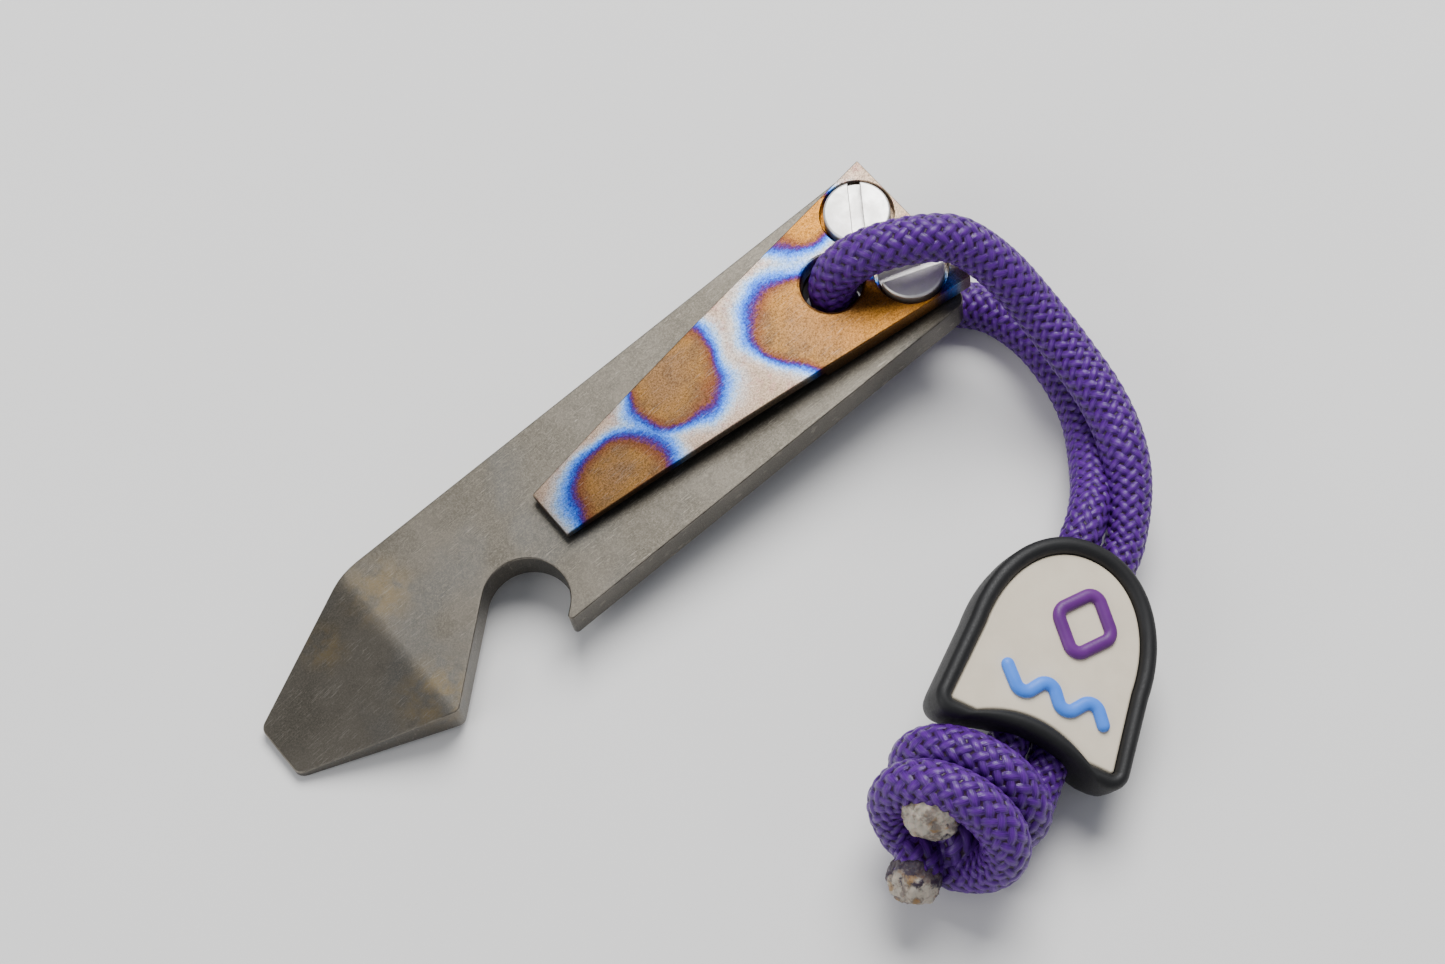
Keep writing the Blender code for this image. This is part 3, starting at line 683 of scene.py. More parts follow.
def make_clip():
    stations = [CLIP_TIP + (CLIP_ROOT - CLIP_TIP) * k / 30 for k in range(31)]
    fillet = CLIP_ROOT + 0.5
    side = [(x, arm_bottom(x)) for x in stations]
    side += [(fillet - 0.12, arm_bottom(CLIP_ROOT) - 0.12), (fillet, CLIP_BOTTOM)]
    side += [(CLIP_END, CLIP_BOTTOM), (CLIP_END, CLIP_TOP)]
    side += [(x, arm_top(x)) for x in reversed(stations)]
    shape = drawn_out([(x, -1, z) for x, z in side], (0, 2, 0))
    for v in shape.verts:
        v.co.y *= clip_half_width(v.co.x)
    bmesh.ops.recalc_face_normals(shape, faces=shape.faces)
    rounded_edges(shape, 0.11, 3, lambda e: e.calc_face_angle(0) > math.radians(40))
    clip = piece_from(shape, "pocket_clip", BAR)
    cutters = [bore(HOLE_RADIUS, 0.3, CLIP_BOTTOM, CLIP_TOP, (HOLE_X, 0))]
    ledge = CLIP_BOTTOM + 0.8  # under the screw's head
    pocket = [
        (0, CLIP_TOP + 1), (HEAD_HOLE + 0.3, CLIP_TOP + 1), (HEAD_HOLE + 0.08, CLIP_TOP),
        (HEAD_HOLE, CLIP_TOP - 0.1), (HEAD_HOLE, ledge), (SHANK_HOLE, ledge),
        (SHANK_HOLE, CLIP_BOTTOM - 1), (0, CLIP_BOTTOM - 1),
    ]
    cutters += [turned(pocket, 96, spot) for spot in SCREW_SPOTS]
    carve(clip, cutters, BAR, 30, weighted=True)
    lay_flat(clip, BAR)
    clip.data.materials.append(flame)
    return clip


def lay_flat(piece, place):
    """A UV map that holds each point's own x and y in its frame, in millimetres."""
    inverse = place.inverted()
    spots = [inverse @ v.co for v in piece.data.vertices]
    flat = piece.data.uv_layers.new(name="flat")
    for corner in piece.data.loops:
        flat.uv[corner.index].vector = spots[corner.vertex_index].xy


clip = make_clip()
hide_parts("clip_base", "clip_arm")
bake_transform(clip)
print("clip:", len(clip.data.polygons), "faces")

# %% [markdown]
# ## The screws
# The two heads are turned and polished until they shine, with fine concentric marks left by the
# lathe, and a slot for a coin or a screwdriver. The profile is spun once and the slot carved with
# a cutter whose mouth flares a little, so that its lips catch the light.


# %% Screw finish and screws
def polished_steel():
    made, tree, shader = new_finish("polished_steel", Metallic=1.0, Roughness=0.2)
    local = node(tree, "UVMap", uv_map="flat").outputs[0]
    radius = vector(tree, "LENGTH", local)
    inputs = {"W": times(tree, radius, 16.0), "Scale": 1.0, "Detail": 3.0}
    rings = node(tree, "TexNoise", inputs, noise_dimensions="1D").outputs["Fac"]
    where = millimetres(tree)
    smudge = cloud(tree, where, 0.9, 4.0, 0.65)
    colour = mixed(tree, spread(tree, smudge, 0.35, 0.7), (0.80, 0.77, 0.73), (0.90, 0.88, 0.85))
    specks = patches(tree, where, (9.0, 2.0), 0.66, 0.74, 0.0, 0.35)
    colour = mixed(tree, specks, colour, (0.48, 0.45, 0.42))
    rough = spread(tree, smudge, 0.3, 0.75, 0.52, 0.42)
    brushed = mapped(tree, where, Rotation=(0, 0, 0.7), Scale=(0.8, 24, 1))
    hair = cloud(tree, brushed, 1.0, 2.0)
    marks = maths(tree, "ADD", rings, times(tree, hair, 0.5))
    surface(tree, shader, colour, rough, marks, 0.006, 0.5)
    return made


steel = polished_steel()
HEAD_TOP, HEAD_UNDER, HEAD_EDGE = CLIP_TOP + 0.5, CLIP_BOTTOM + 1.1, 0.22
THREAD_ROOT, THREAD_PITCH, THREAD_END = 1.36, 0.33, 0.6
SLOT_HALF, SLOT_LIP, SLOT_DEPTH = 0.52, 0.07, 0.7


def screw_profile():
    profile = [(0, HEAD_TOP)]
    for k in range(6):
        angle = math.pi / 2 * k / 5
        out, up = HEAD_EDGE * math.sin(angle), HEAD_EDGE * math.cos(angle)
        profile.append((SCREW_HEAD - HEAD_EDGE + out, HEAD_TOP - HEAD_EDGE + up))
    profile += [(SCREW_HEAD, HEAD_UNDER + 0.1), (SCREW_HEAD - 0.1, HEAD_UNDER)]
    profile += [(SHANK_RADIUS, HEAD_UNDER)]
    for k in range(12):  # the thread, as shallow rings
        z = HEAD_UNDER - 0.35 - k * THREAD_PITCH
        if z > THREAD_END:
            profile += [(SHANK_RADIUS, z + 0.08), (THREAD_ROOT, z - 0.08)]
    return profile + [(SHANK_RADIUS, THREAD_END + 0.25), (1.2, GAP), (0.5, GAP), (0, GAP)]


def slot_cutter(turn):
    low, lip, wide = HEAD_TOP - SLOT_DEPTH, HEAD_TOP - SLOT_LIP, SLOT_HALF + SLOT_LIP
    half = [(SLOT_HALF, low), (SLOT_HALF, lip), (wide, HEAD_TOP), (wide, HEAD_TOP + 1)]
    slot = prism([(-SLOT_HALF, low), *half, *[(-x, z) for x, z in half[:0:-1]]], -4.0, 4.0)
    rotate(slot, FLAT_TO_ACROSS)
    rotate(slot, Matrix.Rotation(turn, 3, "Z"))
    return slot


def make_screw(number, turn):
    place = BAR @ Matrix.Translation((*SCREW_SPOTS[number - 1], 0))
    screw = piece_from(turned(screw_profile(), 96), f"screw_{number}", place)
    carve(screw, [slot_cutter(turn)], place, 30, weighted=True)
    lay_flat(screw, place)
    declare(screw, steel, f"clip_screw_{number}", "bar")
    return screw


screws = [make_screw(1, math.radians(55)), make_screw(2, math.radians(-21))]
print("screws:", [len(s.data.polygons) for s in screws], "faces")

# %% [markdown]
# ## Braided cord
# A braided sheath has two families of yarns, one winding each way, and each yarn passes over two
# and under two. On the surface that makes sixteen columns of slanted stitches, leaning left and
# right in turn. One formula gives a stitch's height from the place round and along the cord. It
# moves the mesh, and the same formula in nodes colours the stitches, with a painted highlight on
# each crown and painted shade in the gaps between them.

# %% The stitch formula, for the mesh
COLUMNS = 16
STITCH = 1.12  # mm of cord for each stitch
COLUMN_WIDE = math.pi * CORD_DIAMETER / COLUMNS
STITCH_LONG, STITCH_WIDE = 0.82, 0.43  # half sizes of one stitch
STITCH_LEAN = math.radians(36)
CROWN = 0.6  # below 1 the stitches are fuller
RELIEF, RELIEF_MIDDLE = 0.22, 0.7


def stitch_height(u, v):
    """0 in the gaps to 1 on a stitch's crown; u counts columns, v counts stitches."""
    best = 0.0
    for family, lean in ((0, 1), (1, -1)):
        across = ((u - 0.5 - family) / 2 + 0.5) % 1.0 - 0.5
        along = (v + family / 2 + 0.5) % 1.0 - 0.5
        p, q = across * 2 * COLUMN_WIDE, along * STITCH * lean
        a = (p * math.cos(STITCH_LEAN) + q * math.sin(STITCH_LEAN)) / STITCH_LONG
        b = (q * math.cos(STITCH_LEAN) - p * math.sin(STITCH_LEAN)) / STITCH_WIDE
        best = max(best, 1 - a * a - b * b)
    return best**CROWN


print("crown", round(stitch_height(0.5, 0.0), 2), "gap", round(stitch_height(0.5, 0.5), 2))

# %% The stitch formula, as a group
braid, take, give = new_group(
    "braid", [("Height", "Float", None), ("Fibres", "Float", None), ("Yarn", "Float", None)]
)
parts = node(braid, "SeparateXYZ", {0: node(braid, "UVMap", uv_map="cord").outputs[0]})


def stitches(family, lean):
    """One family's stitch heights, its place across each stitch and a number for each stitch."""
    column = maths(braid, "SUBTRACT", parts.outputs[0], 0.5 + family)
    column = maths(braid, "ADD", times(braid, column, 0.5), 0.5)
    row = maths(braid, "ADD", parts.outputs[1], family / 2 + 0.5)
    across = maths(braid, "SUBTRACT", maths(braid, "FRACT", column), 0.5)
    along = maths(braid, "SUBTRACT", maths(braid, "FRACT", row), 0.5)
    inputs = {0: times(braid, across, 2 * COLUMN_WIDE), 1: times(braid, along, STITCH * lean)}
    where = node(braid, "CombineXYZ", inputs).outputs[0]
    size = (STITCH_LONG, STITCH_WIDE, 1)
    local = mapped(braid, where, "TEXTURE", Rotation=(0, 0, STITCH_LEAN), Scale=size)
    off = vector(braid, "DOT_PRODUCT", local, local)
    height = maths(braid, "SUBTRACT", 1.0, off, clamp=True)
    tag = times(braid, maths(braid, "FLOOR", column), 5.3)
    tag = maths(braid, "ADD", tag, times(braid, maths(braid, "FLOOR", row), 0.37 + family))
    return height, local, tag


first, second = stitches(0, 1), stitches(1, -1)
on_top = maths(braid, "GREATER_THAN", second[0], first[0])
height = maths(braid, "POWER", maths(braid, "MAXIMUM", first[0], second[0]), CROWN)
tag = node(braid, "Mix", {0: on_top, 2: first[2], 3: second[2]}, data_type="FLOAT").outputs[0]
local = node(braid, "Mix", {0: on_top, 4: first[1], 5: second[1]}, data_type="VECTOR").outputs[1]
stretched = vector(braid, "MULTIPLY", local, (0.6, 4.5, 1.0))
shifted = node(braid, "CombineXYZ", {2: tag}).outputs[0]
fibres = cloud(braid, vector(braid, "ADD", stretched, shifted), 1.5, 2.0, 0.6)
yarn = node(braid, "TexWhiteNoise", {"W": tag}, noise_dimensions="1D").outputs["Value"]
plug(braid, give, {"Height": height, "Fibres": fibres, "Yarn": yarn})
print("braid group:", len(braid.nodes), "nodes")


# %% Purple cord finish
def purple_cord():
    made, tree, shader = new_finish(
        "purple_cord", Roughness=0.36, Sheen_Weight=0.03, Sheen_Roughness=0.4,
        Sheen_Tint=(0.45, 0.22, 1.0, 1), Specular_IOR_Level=0.38,
    )
    pattern = node(tree, "Group", node_tree=braid)
    height, fibres, yarn = (pattern.outputs[k] for k in ("Height", "Fibres", "Yarn"))
    colour = mixed(tree, yarn, (0.031, 0.0012, 0.100), (0.048, 0.0022, 0.140))
    # Painted highlight: the crowns of the stitches are lightened.
    colour = mixed(tree, spread(tree, height, 0.72, 1.0, 0.0, 0.7), colour, (0.095, 0.0085, 0.250))
    colour = mixed(tree, spread(tree, fibres, 0.42, 0.66, 0.0, 0.5), colour, (0.145, 0.026, 0.33))
    # Painted shade: the gaps between the stitches are darkened.
    colour = mixed(tree, spread(tree, height, 0.60, 0.0), colour, (0.017, 0.0008, 0.020))
    rough = spread(tree, fibres, 0.3, 0.7, 0.44, 0.28)
    relief = maths(tree, "ADD", height, times(tree, fibres, 0.22))
    surface(tree, shader, colour, rough, relief, 0.16, 0.8)
    return made


cord_purple = purple_cord()
print(cord_purple.name)

# %% [markdown]
# ## A tube along a route
# A smooth curve runs through the route's chosen points. A flat grid is rolled up round that
# curve: its columns go round the cord and its rows along it. The grid brings its own UV map,
# which is stretched to count columns and stitches, and each point is pushed out by its stitch.


# %% Smooth route and rolled grid
ROUTE_STEP = 0.155


def smooth_route(route):
    """Points at even steps along a Catmull-Rom curve through the route's own points."""
    route = [Vector(p) for p in route]
    ends = [2 * route[0] - route[1], *route, 2 * route[-1] - route[-2]]
    fine = []
    for a, b, c, d in zip(ends, ends[1:], ends[2:], ends[3:]):
        for k in range(24):
            t = k / 24
            fine.append(0.5 * (2 * b + (c - a) * t + (2 * a - 5 * b + 4 * c - d) * t**2
                               + (3 * b - a - 3 * c + d) * t**3))
    fine.append(route[-1])
    lengths = [0.0]
    for a, b in zip(fine, fine[1:]):
        lengths.append(lengths[-1] + (b - a).length)
    count = round(lengths[-1] / ROUTE_STEP)
    points, at = [], 0
    for k in range(count + 1):
        want = lengths[-1] * k / count
        while at < len(fine) - 2 and lengths[at + 1] < want:
            at += 1
        share = (want - lengths[at]) / (lengths[at + 1] - lengths[at])
        points.append(fine[at].lerp(fine[at + 1], share))
    return points


def length_of(line):
    return sum((b - a).length for a, b in zip(line, line[1:]))


def frames_along(line):
    """A side and an upper direction at each point, carried along without twisting."""
    frames = []
    ahead = (line[1] - line[0]).normalized()
    side = ahead.orthogonal().normalized()
    for i in range(len(line)):
        now = (line[min(i + 1, len(line) - 1)] - line[max(i - 1, 0)]).normalized()
        side = ahead.rotation_difference(now) @ side
        side = (side - now * side.dot(now)).normalized()
        ahead = now
        frames.append((side, now.cross(side)))
    return frames


def braided_tube(line, thickness):
    """A bmesh of cord along a line in mm; thickness(i) is its share of the full diameter."""
    frames = frames_along(line)
    rows, around = len(line) - 1, COLUMNS * 4
    shape = bmesh.new()
    uv = shape.loops.layers.uv.new("cord")
    bmesh.ops.create_grid(shape, x_segments=around, y_segments=rows, size=1, calc_uvs=True)
    length = length_of(line)
    for face in shape.faces:
        for corner in face.loops:
            spot = corner.vert.co
            corner[uv].uv = ((spot.x + 1) / 2 * COLUMNS, (spot.y + 1) / 2 * length / STITCH)
    for vert in shape.verts:
        share, row = (vert.co.x + 1) / 2, (vert.co.y + 1) / 2 * rows
        i = round(row)
        radius = CORD_DIAMETER / 2 * thickness(i)
        crown = stitch_height(share * COLUMNS, i / rows * length / STITCH)
        radius += RELIEF * (crown - RELIEF_MIDDLE)
        side, upper = frames[i]
        turn = share * math.tau
        vert.co = line[i] + (side * math.cos(turn) + upper * math.sin(turn)) * radius
    bmesh.ops.remove_doubles(shape, verts=shape.verts, dist=MERGE)
    bmesh.ops.holes_fill(shape, edges=[e for e in shape.edges if e.is_boundary], sides=0)
    return shape


print("route helpers ready")

# %% [markdown]
# ## The loop of cord
# The cord is 4 mm across. From the knot it runs through the bead, rises over the screws, dips
# down through the clip and the bar, turns beneath the bar and comes back along the table. The
# bead squeezes it a little where it passes through.

# %% The cord's route
BEAD_NOSE, BEAD_TRAVEL = 17.4, 3.0
CHANNEL_SIDE, CHANNEL_Z, CORD_SPACING = -1.1, -0.4, 3.7
IN_BEAD, SQUEEZE_LENGTH = 0.85, 6  # share of the full thickness in the bead; mm to regain it
ROUTE_OVER = (
    (7.6, -28.7, 5.2), (9.6, -25.4, 6.3), (10.9, -21.5, 6.8), (11.5, -16.8, 7.5),
    (11.4, -12.4, 9.3), (10.5, -8.6, 12.1), (8.8, -5.5, 14.3), (6.4, -3.8, 15.2),
    (3.6, -2.1, 14.9), (1.5, -0.9, 13.7), (0.2, -0.2, 11.8), (-0.35, 0.0, 9.6),
    (-0.15, 0.0, 7.2),
)
ROUTE_UNDER = (
    (0.2, -0.1, 5.2), (0.9, -0.6, 3.3), (2.5, -1.6, 2.25), (5.2, -3.0, 2.1),
    (8.8, -4.9, 2.1), (11.2, -7.8, 2.1), (12.1, -11.9, 2.1), (11.7, -16.2, 2.15),
    (10.4, -20.2, 2.45), (8.2, -23.6, 3.2), (5.5, -26.6, 4.5),
)
to_lanyard = LANYARD.inverted() @ BEAD


def leg(side):
    stops = (-4.6, -1.4, 5, 11, BEAD_NOSE, BEAD_NOSE + BEAD_TRAVEL)
    y = CHANNEL_SIDE + side * CORD_SPACING / 2
    return [to_lanyard @ Vector((x, y, CHANNEL_Z)) for x in stops]


cord_line = smooth_route([*leg(-1), *ROUTE_OVER, *ROUTE_UNDER, *reversed(leg(1))])

# %% The loop
into_bead = to_lanyard.inverted()


def squeezed(i):
    past = (into_bead @ cord_line[i]).x - BEAD_NOSE - BEAD_TRAVEL
    return IN_BEAD + (1 - IN_BEAD) * min(1.0, max(0.0, past / SQUEEZE_LENGTH))


loop = piece_from(braided_tube(cord_line, squeezed), "cord_loop", LANYARD, 60)
declare(loop, cord_purple, "paracord", "lanyard")
print("cord:", len(loop.data.polygons), "faces")

# %% [markdown]
# ## The knot
# Both legs of the cord are tied together in one stopper knot. What shows is two wraps, side by
# side, and the two ends coming out through the eye of the last wrap. Each leg gets its own route
# in the knot's frame: in at the back, once round, then in through the eye and out.

# %% Knot routes
KNOT_SQUEEZE = 0.98


def wrap(along, first, last, wide, high):
    """Route points round one wrap, from one clock angle to another in degrees."""
    angles = [math.radians(first + (last - first) * k / 8) for k in range(9)]
    return [(along, wide * math.cos(angle), high * math.sin(angle)) for angle in angles]


KNOT_ROUTES = (
    [(-3.4, 1.6, -0.4), (-1.6, 1.2, -1.6), *wrap(0.0, -100, 215, 5.0, 4.0),
     (1.0, -2.2, -0.8), (3.0, -1.4, 1.3), (5.2, -1.5, 2.1)],
    [(-3.2, -1.8, 0.2), (0.6, -0.6, -1.4), (3.2, 1.0, -2.2), *wrap(4.2, -80, 228, 4.9, 4.3),
     (4.4, -1.9, -3.6), (6.0, -1.1, -3.3), (7.6, -0.7, -3.9)],
)
strands = [smooth_route(route) for route in KNOT_ROUTES]
print("strands", [round(length_of(strand), 1) for strand in strands], "mm")


# %% The knot's two strands as one piece
def make_knot():
    shapes = [braided_tube(line, lambda i: KNOT_SQUEEZE) for line in strands]
    whole = bpy.data.meshes.new("join")
    shapes[1].to_mesh(whole)
    shapes[1].free()
    shapes[0].from_mesh(whole)
    bpy.data.meshes.remove(whole)
    return piece_from(shapes[0], "wrapped_knot", KNOT, 60)


knot = make_knot()
declare(knot, cord_purple, "lanyard_knot", "lanyard")
print("knot:", len(knot.data.polygons), "faces")

# %% [markdown]
# ## The melted ends
# Nylon cord is sealed with a flame, which leaves a lumpy, pale cap: ivory where the core has
# melted, ochre where it scorched, and dark where purple yarn has run into it.


# %% Melted finish and ends
def melted_nylon():
    made, tree, shader = new_finish(
        "melted_nylon", Roughness=0.5, Specular_IOR_Level=0.5,
        Subsurface_Weight=0.15, Subsurface_Scale=0.0008,
    )
    where = millimetres(tree)
    ivory = patches(tree, where, (0.75, 4.0, 0.65), 0.42, 0.58)
    colour = mixed(tree, ivory, (0.17, 0.135, 0.11), (0.44, 0.385, 0.31))
    scorch = patches(tree, where, (0.55, 3.0, 0.6), 0.56, 0.66, 0.0, 0.75, Distortion=0.8)
    colour = mixed(tree, scorch, colour, (0.30, 0.165, 0.045))
    rim = node(tree, "Attribute", attribute_name="burnt").outputs["Fac"]
    ragged = patches(tree, where, (1.4, 4.0), 0.45, 0.7, -0.25, 0.35)
    rim = maths(tree, "ADD", rim, ragged, clamp=True)
    colour = mixed(tree, spread(tree, rim, 0.35, 0.85), colour, (0.028, 0.014, 0.030))
    rough = patches(tree, where, (2.0, 3.0), 0.3, 0.7, 0.34, 0.62)
    surface(tree, shader, colour, rough, cloud(tree, where, 2.6, 5.0, 0.6), 0.22, 0.8)
    return made


melted = melted_nylon()


def make_end(number, line, radius, seed):
    """A blob over a strand's end, pushed about by noise and darker towards the cord."""
    tip = line[-1]
    ahead = (tip - line[-8]).normalized()
    shape = bmesh.new()
    bmesh.ops.create_icosphere(shape, subdivisions=5, radius=radius)
    for vert in shape.verts:
        out = vert.co.normalized()
        lump = noise.fractal(out * 1.5 + Vector((seed, 0, 0)), 0.8, 2.0, 4)
        pit = noise.noise(out * 4.0 + Vector((0, seed, 0)))
        forward = out.dot(ahead)
        vert.co *= 1 + 0.17 * lump + 0.03 * pit - 0.22 * max(0.0, forward)
    bmesh.ops.translate(shape, verts=shape.verts, vec=tip)
    burnt = shape.verts.layers.float.new("burnt")
    for vert in shape.verts:
        out = (vert.co - tip).normalized()
        vert[burnt] = min(1.0, max(0.0, 0.85 - out.dot(ahead)))
    end = piece_from(shape, f"melted_end_{number}", KNOT, 70)
    declare(end, melted, f"cord_end_{number}", "lanyard")
    return end


melted_ends = [make_end(1, strands[0], 2.45, 3.1), make_end(2, strands[1], 2.2, 11.7)]
print("ends:", [e.name for e in melted_ends])

# %% [markdown]
# ## The bead's soft plastic
# The bead is soft moulded PVC, poured colour by colour. Every colour has the same silky matte
# skin with a trace of mould texture and dust, so one function makes all four.


# %% Soft plastic finishes
def soft_plastic(name, colour, shade, dust, rough=0.55):
    made, tree, shader = new_finish(name, Roughness=rough, Specular_IOR_Level=0.4)
    where = millimetres(tree)
    tone = mixed(tree, patches(tree, where, (0.35, 3.0), 0.35, 0.68), colour, shade)
    speck = patches(tree, where, (3.4, 5.0, 0.75), 0.62, 0.76, 0.0, dust)
    tone = mixed(tree, speck, tone, (0.30, 0.29, 0.27))
    skin = cloud(tree, where, 9.0, 3.0, 0.6)
    rough = spread(tree, skin, 0.3, 0.7, rough - 0.07, rough + 0.08)
    surface(tree, shader, tone, rough, skin, 0.02, 0.5)
    return made


black = soft_plastic("bead_black", (0.0052, 0.0052, 0.0056), (0.0085, 0.0085, 0.0088), 0.05)
cream = soft_plastic("bead_cream", (0.78, 0.685, 0.53), (0.73, 0.64, 0.49), 0.05)
violet = soft_plastic("bead_purple", (0.105, 0.012, 0.165), (0.13, 0.018, 0.20), 0.03, 0.45)
blue = soft_plastic("bead_blue", (0.045, 0.22, 0.86), (0.06, 0.25, 0.92), 0.02, 0.45)
print("soft plastics:", [m.name for m in (black, cream, violet, blue)])

# %% [markdown]
# ## The bead
# The bead is a shield with a domed nose and a hollow hem. Its section all the way round is the
# same: a wall with a soft lower edge, a thick rolled rim, and a recess for the cream panel. One
# outline function, drawn in by a varying amount at each height, gives the rings of that section,
# and bridging each ring to the next makes the surface.

# %% Outline and section
BEAD_HALF_WIDTH, BEAD_DOME_HALF_WIDTH, BEAD_DOME_FROM = 8.8, 8.1, 7.0
BEAD_HEM, HEM_HOLLOW, BEAD_CORNER, BEAD_THICK = -1.4, 1.5, 1.7, 7.0
BEAD_RIM, RIM_PROUD, PANEL_THICK, UNDER_EDGE = 1.4, 0.6, 0.6, 3.2
DOME_POWER, HOLLOW_INSET = 0.95, 2.4
BEAD_TOP = BEAD_THICK / 2
PANEL_TOP = BEAD_TOP - RIM_PROUD


def shield(inset):
    """The bead's outline, drawn in by an inset: a domed nose, and a hollow hem with two corners."""
    half, hem_half = BEAD_DOME_HALF_WIDTH - inset, BEAD_HALF_WIDTH - inset
    nose = BEAD_NOSE - inset - BEAD_DOME_FROM
    hem = BEAD_HEM + inset
    corner = max(0.35, BEAD_CORNER - inset)
    side = []
    for k in range(31):
        turn = math.pi / 2 * k / 30
        across = half * max(0.0, math.cos(turn)) ** DOME_POWER
        side.append((BEAD_DOME_FROM + nose * math.sin(turn) ** DOME_POWER, across, 0))
    hollow = [
        (hem + HEM_HOLLOW * (1 - share**2), -share * (hem_half - HOLLOW_INSET), 0)
        for share in [k / 8 - 1 for k in range(17)]
    ]
    right = [(x, -y, 0) for x, y, _ in side]
    left_corner, right_corner = (hem, hem_half, corner), (hem, -hem_half, corner)
    corners = [*side[::-1][1:], left_corner, *hollow, right_corner, *right]
    return rounded(corners, math.pi / 2 / 10)


def section():
    """(inset, height) pairs up the wall, over the rolled rim and down into the recess."""
    pairs = []
    for k in range(7):  # soft lower edge
        angle = math.pi / 2 * k / 6
        inset, rise = UNDER_EDGE * (1 - math.sin(angle)), 1.45 * UNDER_EDGE * (1 - math.cos(angle))
        pairs.append((inset, rise - BEAD_TOP))
    pairs += [(0.0, 1.2), (0.0, 1.9)]
    roll = BEAD_RIM / 2
    for k in range(11):  # the rolled rim
        angle = math.pi * k / 10
        pairs.append((roll * (1 - math.cos(angle)), BEAD_TOP - roll + roll * math.sin(angle)))
    return pairs + [(BEAD_RIM, PANEL_TOP - PANEL_THICK - GAP)]


print(len(shield(0)), "points round,", len(section()), "rings up")


# %% Bridge the rings and carve the cord's way through
def ring_of(shape, inset, height):
    verts = [shape.verts.new((p.x, p.y, height)) for p in shield(inset)]
    return [shape.edges.new(pair) for pair in zip(verts, verts[1:] + verts[:1])]


def make_bead_body():
    shape = bmesh.new()
    rings = [ring_of(shape, inset, height) for inset, height in section()]
    for lower, upper in zip(rings, rings[1:]):
        bmesh.ops.bridge_loops(shape, edges=lower + upper)
    for ring in (rings[0], rings[-1]):
        bmesh.ops.contextual_create(shape, geom=ring)
    body = piece_from(shape, "bead_shell", BEAD, 50)
    radius = CORD_DIAMETER * IN_BEAD / 2 + 0.05
    ends = []
    for side, first in ((1, -math.pi / 2), (-1, math.pi / 2)):
        for k in range(17):
            turn = first + math.pi * k / 16
            x, y = radius * math.cos(turn), radius * math.sin(turn)
            ends.append((CORD_SPACING / 2 * side + x, y))
    channel = prism(ends, BEAD_HEM - 3, BEAD_NOSE + 2)
    rotate(channel, FLAT_TO_ACROSS)
    bmesh.ops.translate(channel, verts=channel.verts, vec=(0, CHANNEL_SIDE, CHANNEL_Z))
    return carve(body, [channel], BEAD, 50)


bead = make_bead_body()
print("bead body:", len(bead.data.polygons), "faces")


# %% Panel and raised strokes
def make_panel():
    shape = prism(shield(BEAD_RIM + 0.02), PANEL_TOP - PANEL_THICK, PANEL_TOP)
    rounded_edges(shape, 0.28, 4, lambda e: all(abs(v.co.z - PANEL_TOP) < 1e-4 for v in e.verts))
    return piece_from(shape, "cream_panel", BEAD, 40, weighted=True)


def stroke(points, closed, radius, name):
    """A soft raised line with round ends, pressed flat; points are in the bead's plane."""
    route = [Vector((x, y, 0)) for x, y in points]
    curve = bpy.data.curves.new(name, "CURVE")
    curve.dimensions = "3D"
    curve.bevel_depth = radius
    curve.bevel_resolution = 8
    curve.use_fill_caps = True
    line = curve.splines.new("POLY")
    stops = [(p, 1.0) for p in route]
    if not closed:
        for at, inner in ((0, 1), (-1, -2)):
            out = (route[at] - route[inner]).normalized()
            cap = []
            for share in (0.35, 0.62, 0.82, 0.94, 1.0):
                cap.append((route[at] + out * radius * share, max(0.02, math.sqrt(1 - share**2))))
            stops = [*reversed(cap), *stops] if at == 0 else [*stops, *cap]
    line.points.add(len(stops) - 1)
    for point, (spot, share) in zip(line.points, stops):
        point.co = (*spot, 1)
        point.radius = share
    line.use_cyclic_u = closed
    maker = shown(name, curve)
    data = evaluated(maker)
    bpy.data.objects.remove(maker)
    shape = bmesh.new()
    shape.from_mesh(data)
    bpy.data.meshes.remove(data)
    return shape


def bent(points, closed, radius=0.9):
    """A zigzag's points with each inner corner rounded."""
    corners = [(x, y, radius) for x, y in points]
    if not closed:
        corners[0] = (*points[0], 0)
        corners[-1] = (*points[-1], 0)
    return rounded(corners, math.radians(12))


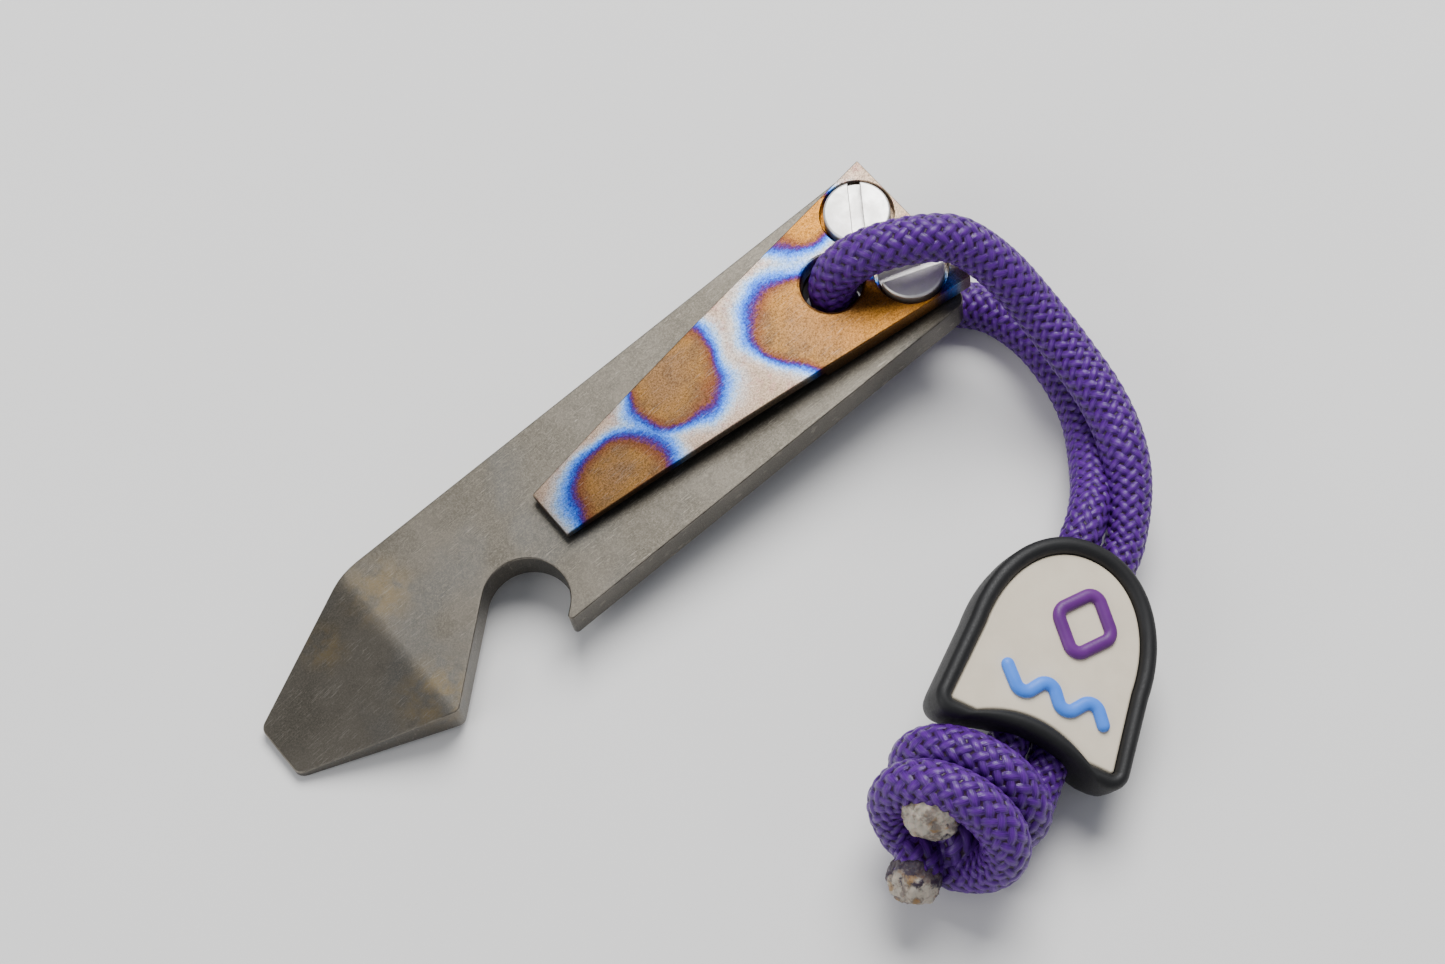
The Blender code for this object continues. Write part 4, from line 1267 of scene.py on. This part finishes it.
DIAMOND = ((13.6, -1.0), (10.6, 1.6), (7.6, -1.0), (10.6, -3.6))
ZIGZAG = ((4.6, 3.9), (2.6, 2.0), (5.2, 0.2), (2.6, -1.8), (5.2, -3.8), (3.4, -5.2))
STROKE_RADIUS, STROKE_FLAT = 0.56, 0.75
PRESSED = Matrix.Translation((0, 0, PANEL_TOP + 0.12)) @ Matrix.Diagonal((1, 1, STROKE_FLAT, 1))
strokes = []
for name, points, closed in (("purple_diamond", DIAMOND, True), ("blue_zigzag", ZIGZAG, False)):
    shape = stroke(bent(points, closed), closed, STROKE_RADIUS, name)
    bmesh.ops.transform(shape, matrix=PRESSED, verts=shape.verts)
    strokes.append(piece_from(shape, name, BEAD, 60))
panel = make_panel()
declare(bead, black, "bead_body", "bead")
declare(panel, cream, "bead_panel", "bead")
declare(strokes[0], violet, "bead_motif_purple", "bead")
declare(strokes[1], blue, "bead_motif_blue", "bead")
print("bead pieces:", [bead.name, panel.name, *[s.name for s in strokes]])

# %% [markdown]
# ## Floor and light
# A pale floor, one broad soft light high behind the object, which the flat metal faces mirror
# towards the camera, a weaker one from the left, and an even, faintly blue sky.


# %% Floor
def make_floor():
    shape = bmesh.new()
    bmesh.ops.create_grid(shape, x_segments=2, y_segments=2, size=1.5)
    floor = piece_from(shape, "floor", Matrix.Identity(4))
    made, tree, shader = new_finish("pale_floor", Roughness=0.75, Specular_IOR_Level=0.25)
    mottle = cloud(tree, millimetres(tree), 0.05, 3.0)
    plug(tree, shader, {"Base Color": mixed(tree, mottle, (0.80, 0.79, 0.77), (0.84, 0.83, 0.81))})
    floor.data.materials.append(made)
    floor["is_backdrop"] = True


make_floor()


# %% Lights
def soft_light(name, place, size, power):
    lamp = bpy.data.lights.new(name, "AREA")
    lamp.shape = "DISK"
    lamp.size = size
    lamp.energy = power
    facing = Vector(place).to_track_quat("Z", "Y").to_matrix().to_4x4()  # at the object
    shown(name, lamp).matrix_world = Matrix.Translation(place) @ facing


soft_light("key", (0.31, 0.23, 0.58), 0.50, 7.6)
soft_light("fill", (-0.60, 0.10, 0.42), 0.50, 2.0)
sky = bpy.data.worlds.new("sky")
sky.use_nodes = True
glow = {"Color": (0.86, 0.90, 1.0, 1), "Strength": 0.36}
plug(sky.node_tree, sky.node_tree.nodes["Background"], glow)
bpy.context.scene.world = sky

# %% Sizes, and finish
sizes = {"cad": cad_box, "visual": [list(corner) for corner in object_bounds()]}
for low, high in zip(*sizes["cad"]):
    print(f"cad {low * 1000:.2f} to {high * 1000:.2f} mm")
for low, high in zip(*sizes["visual"]):
    print(f"visual {low * 1000:.2f} to {high * 1000:.2f} mm")
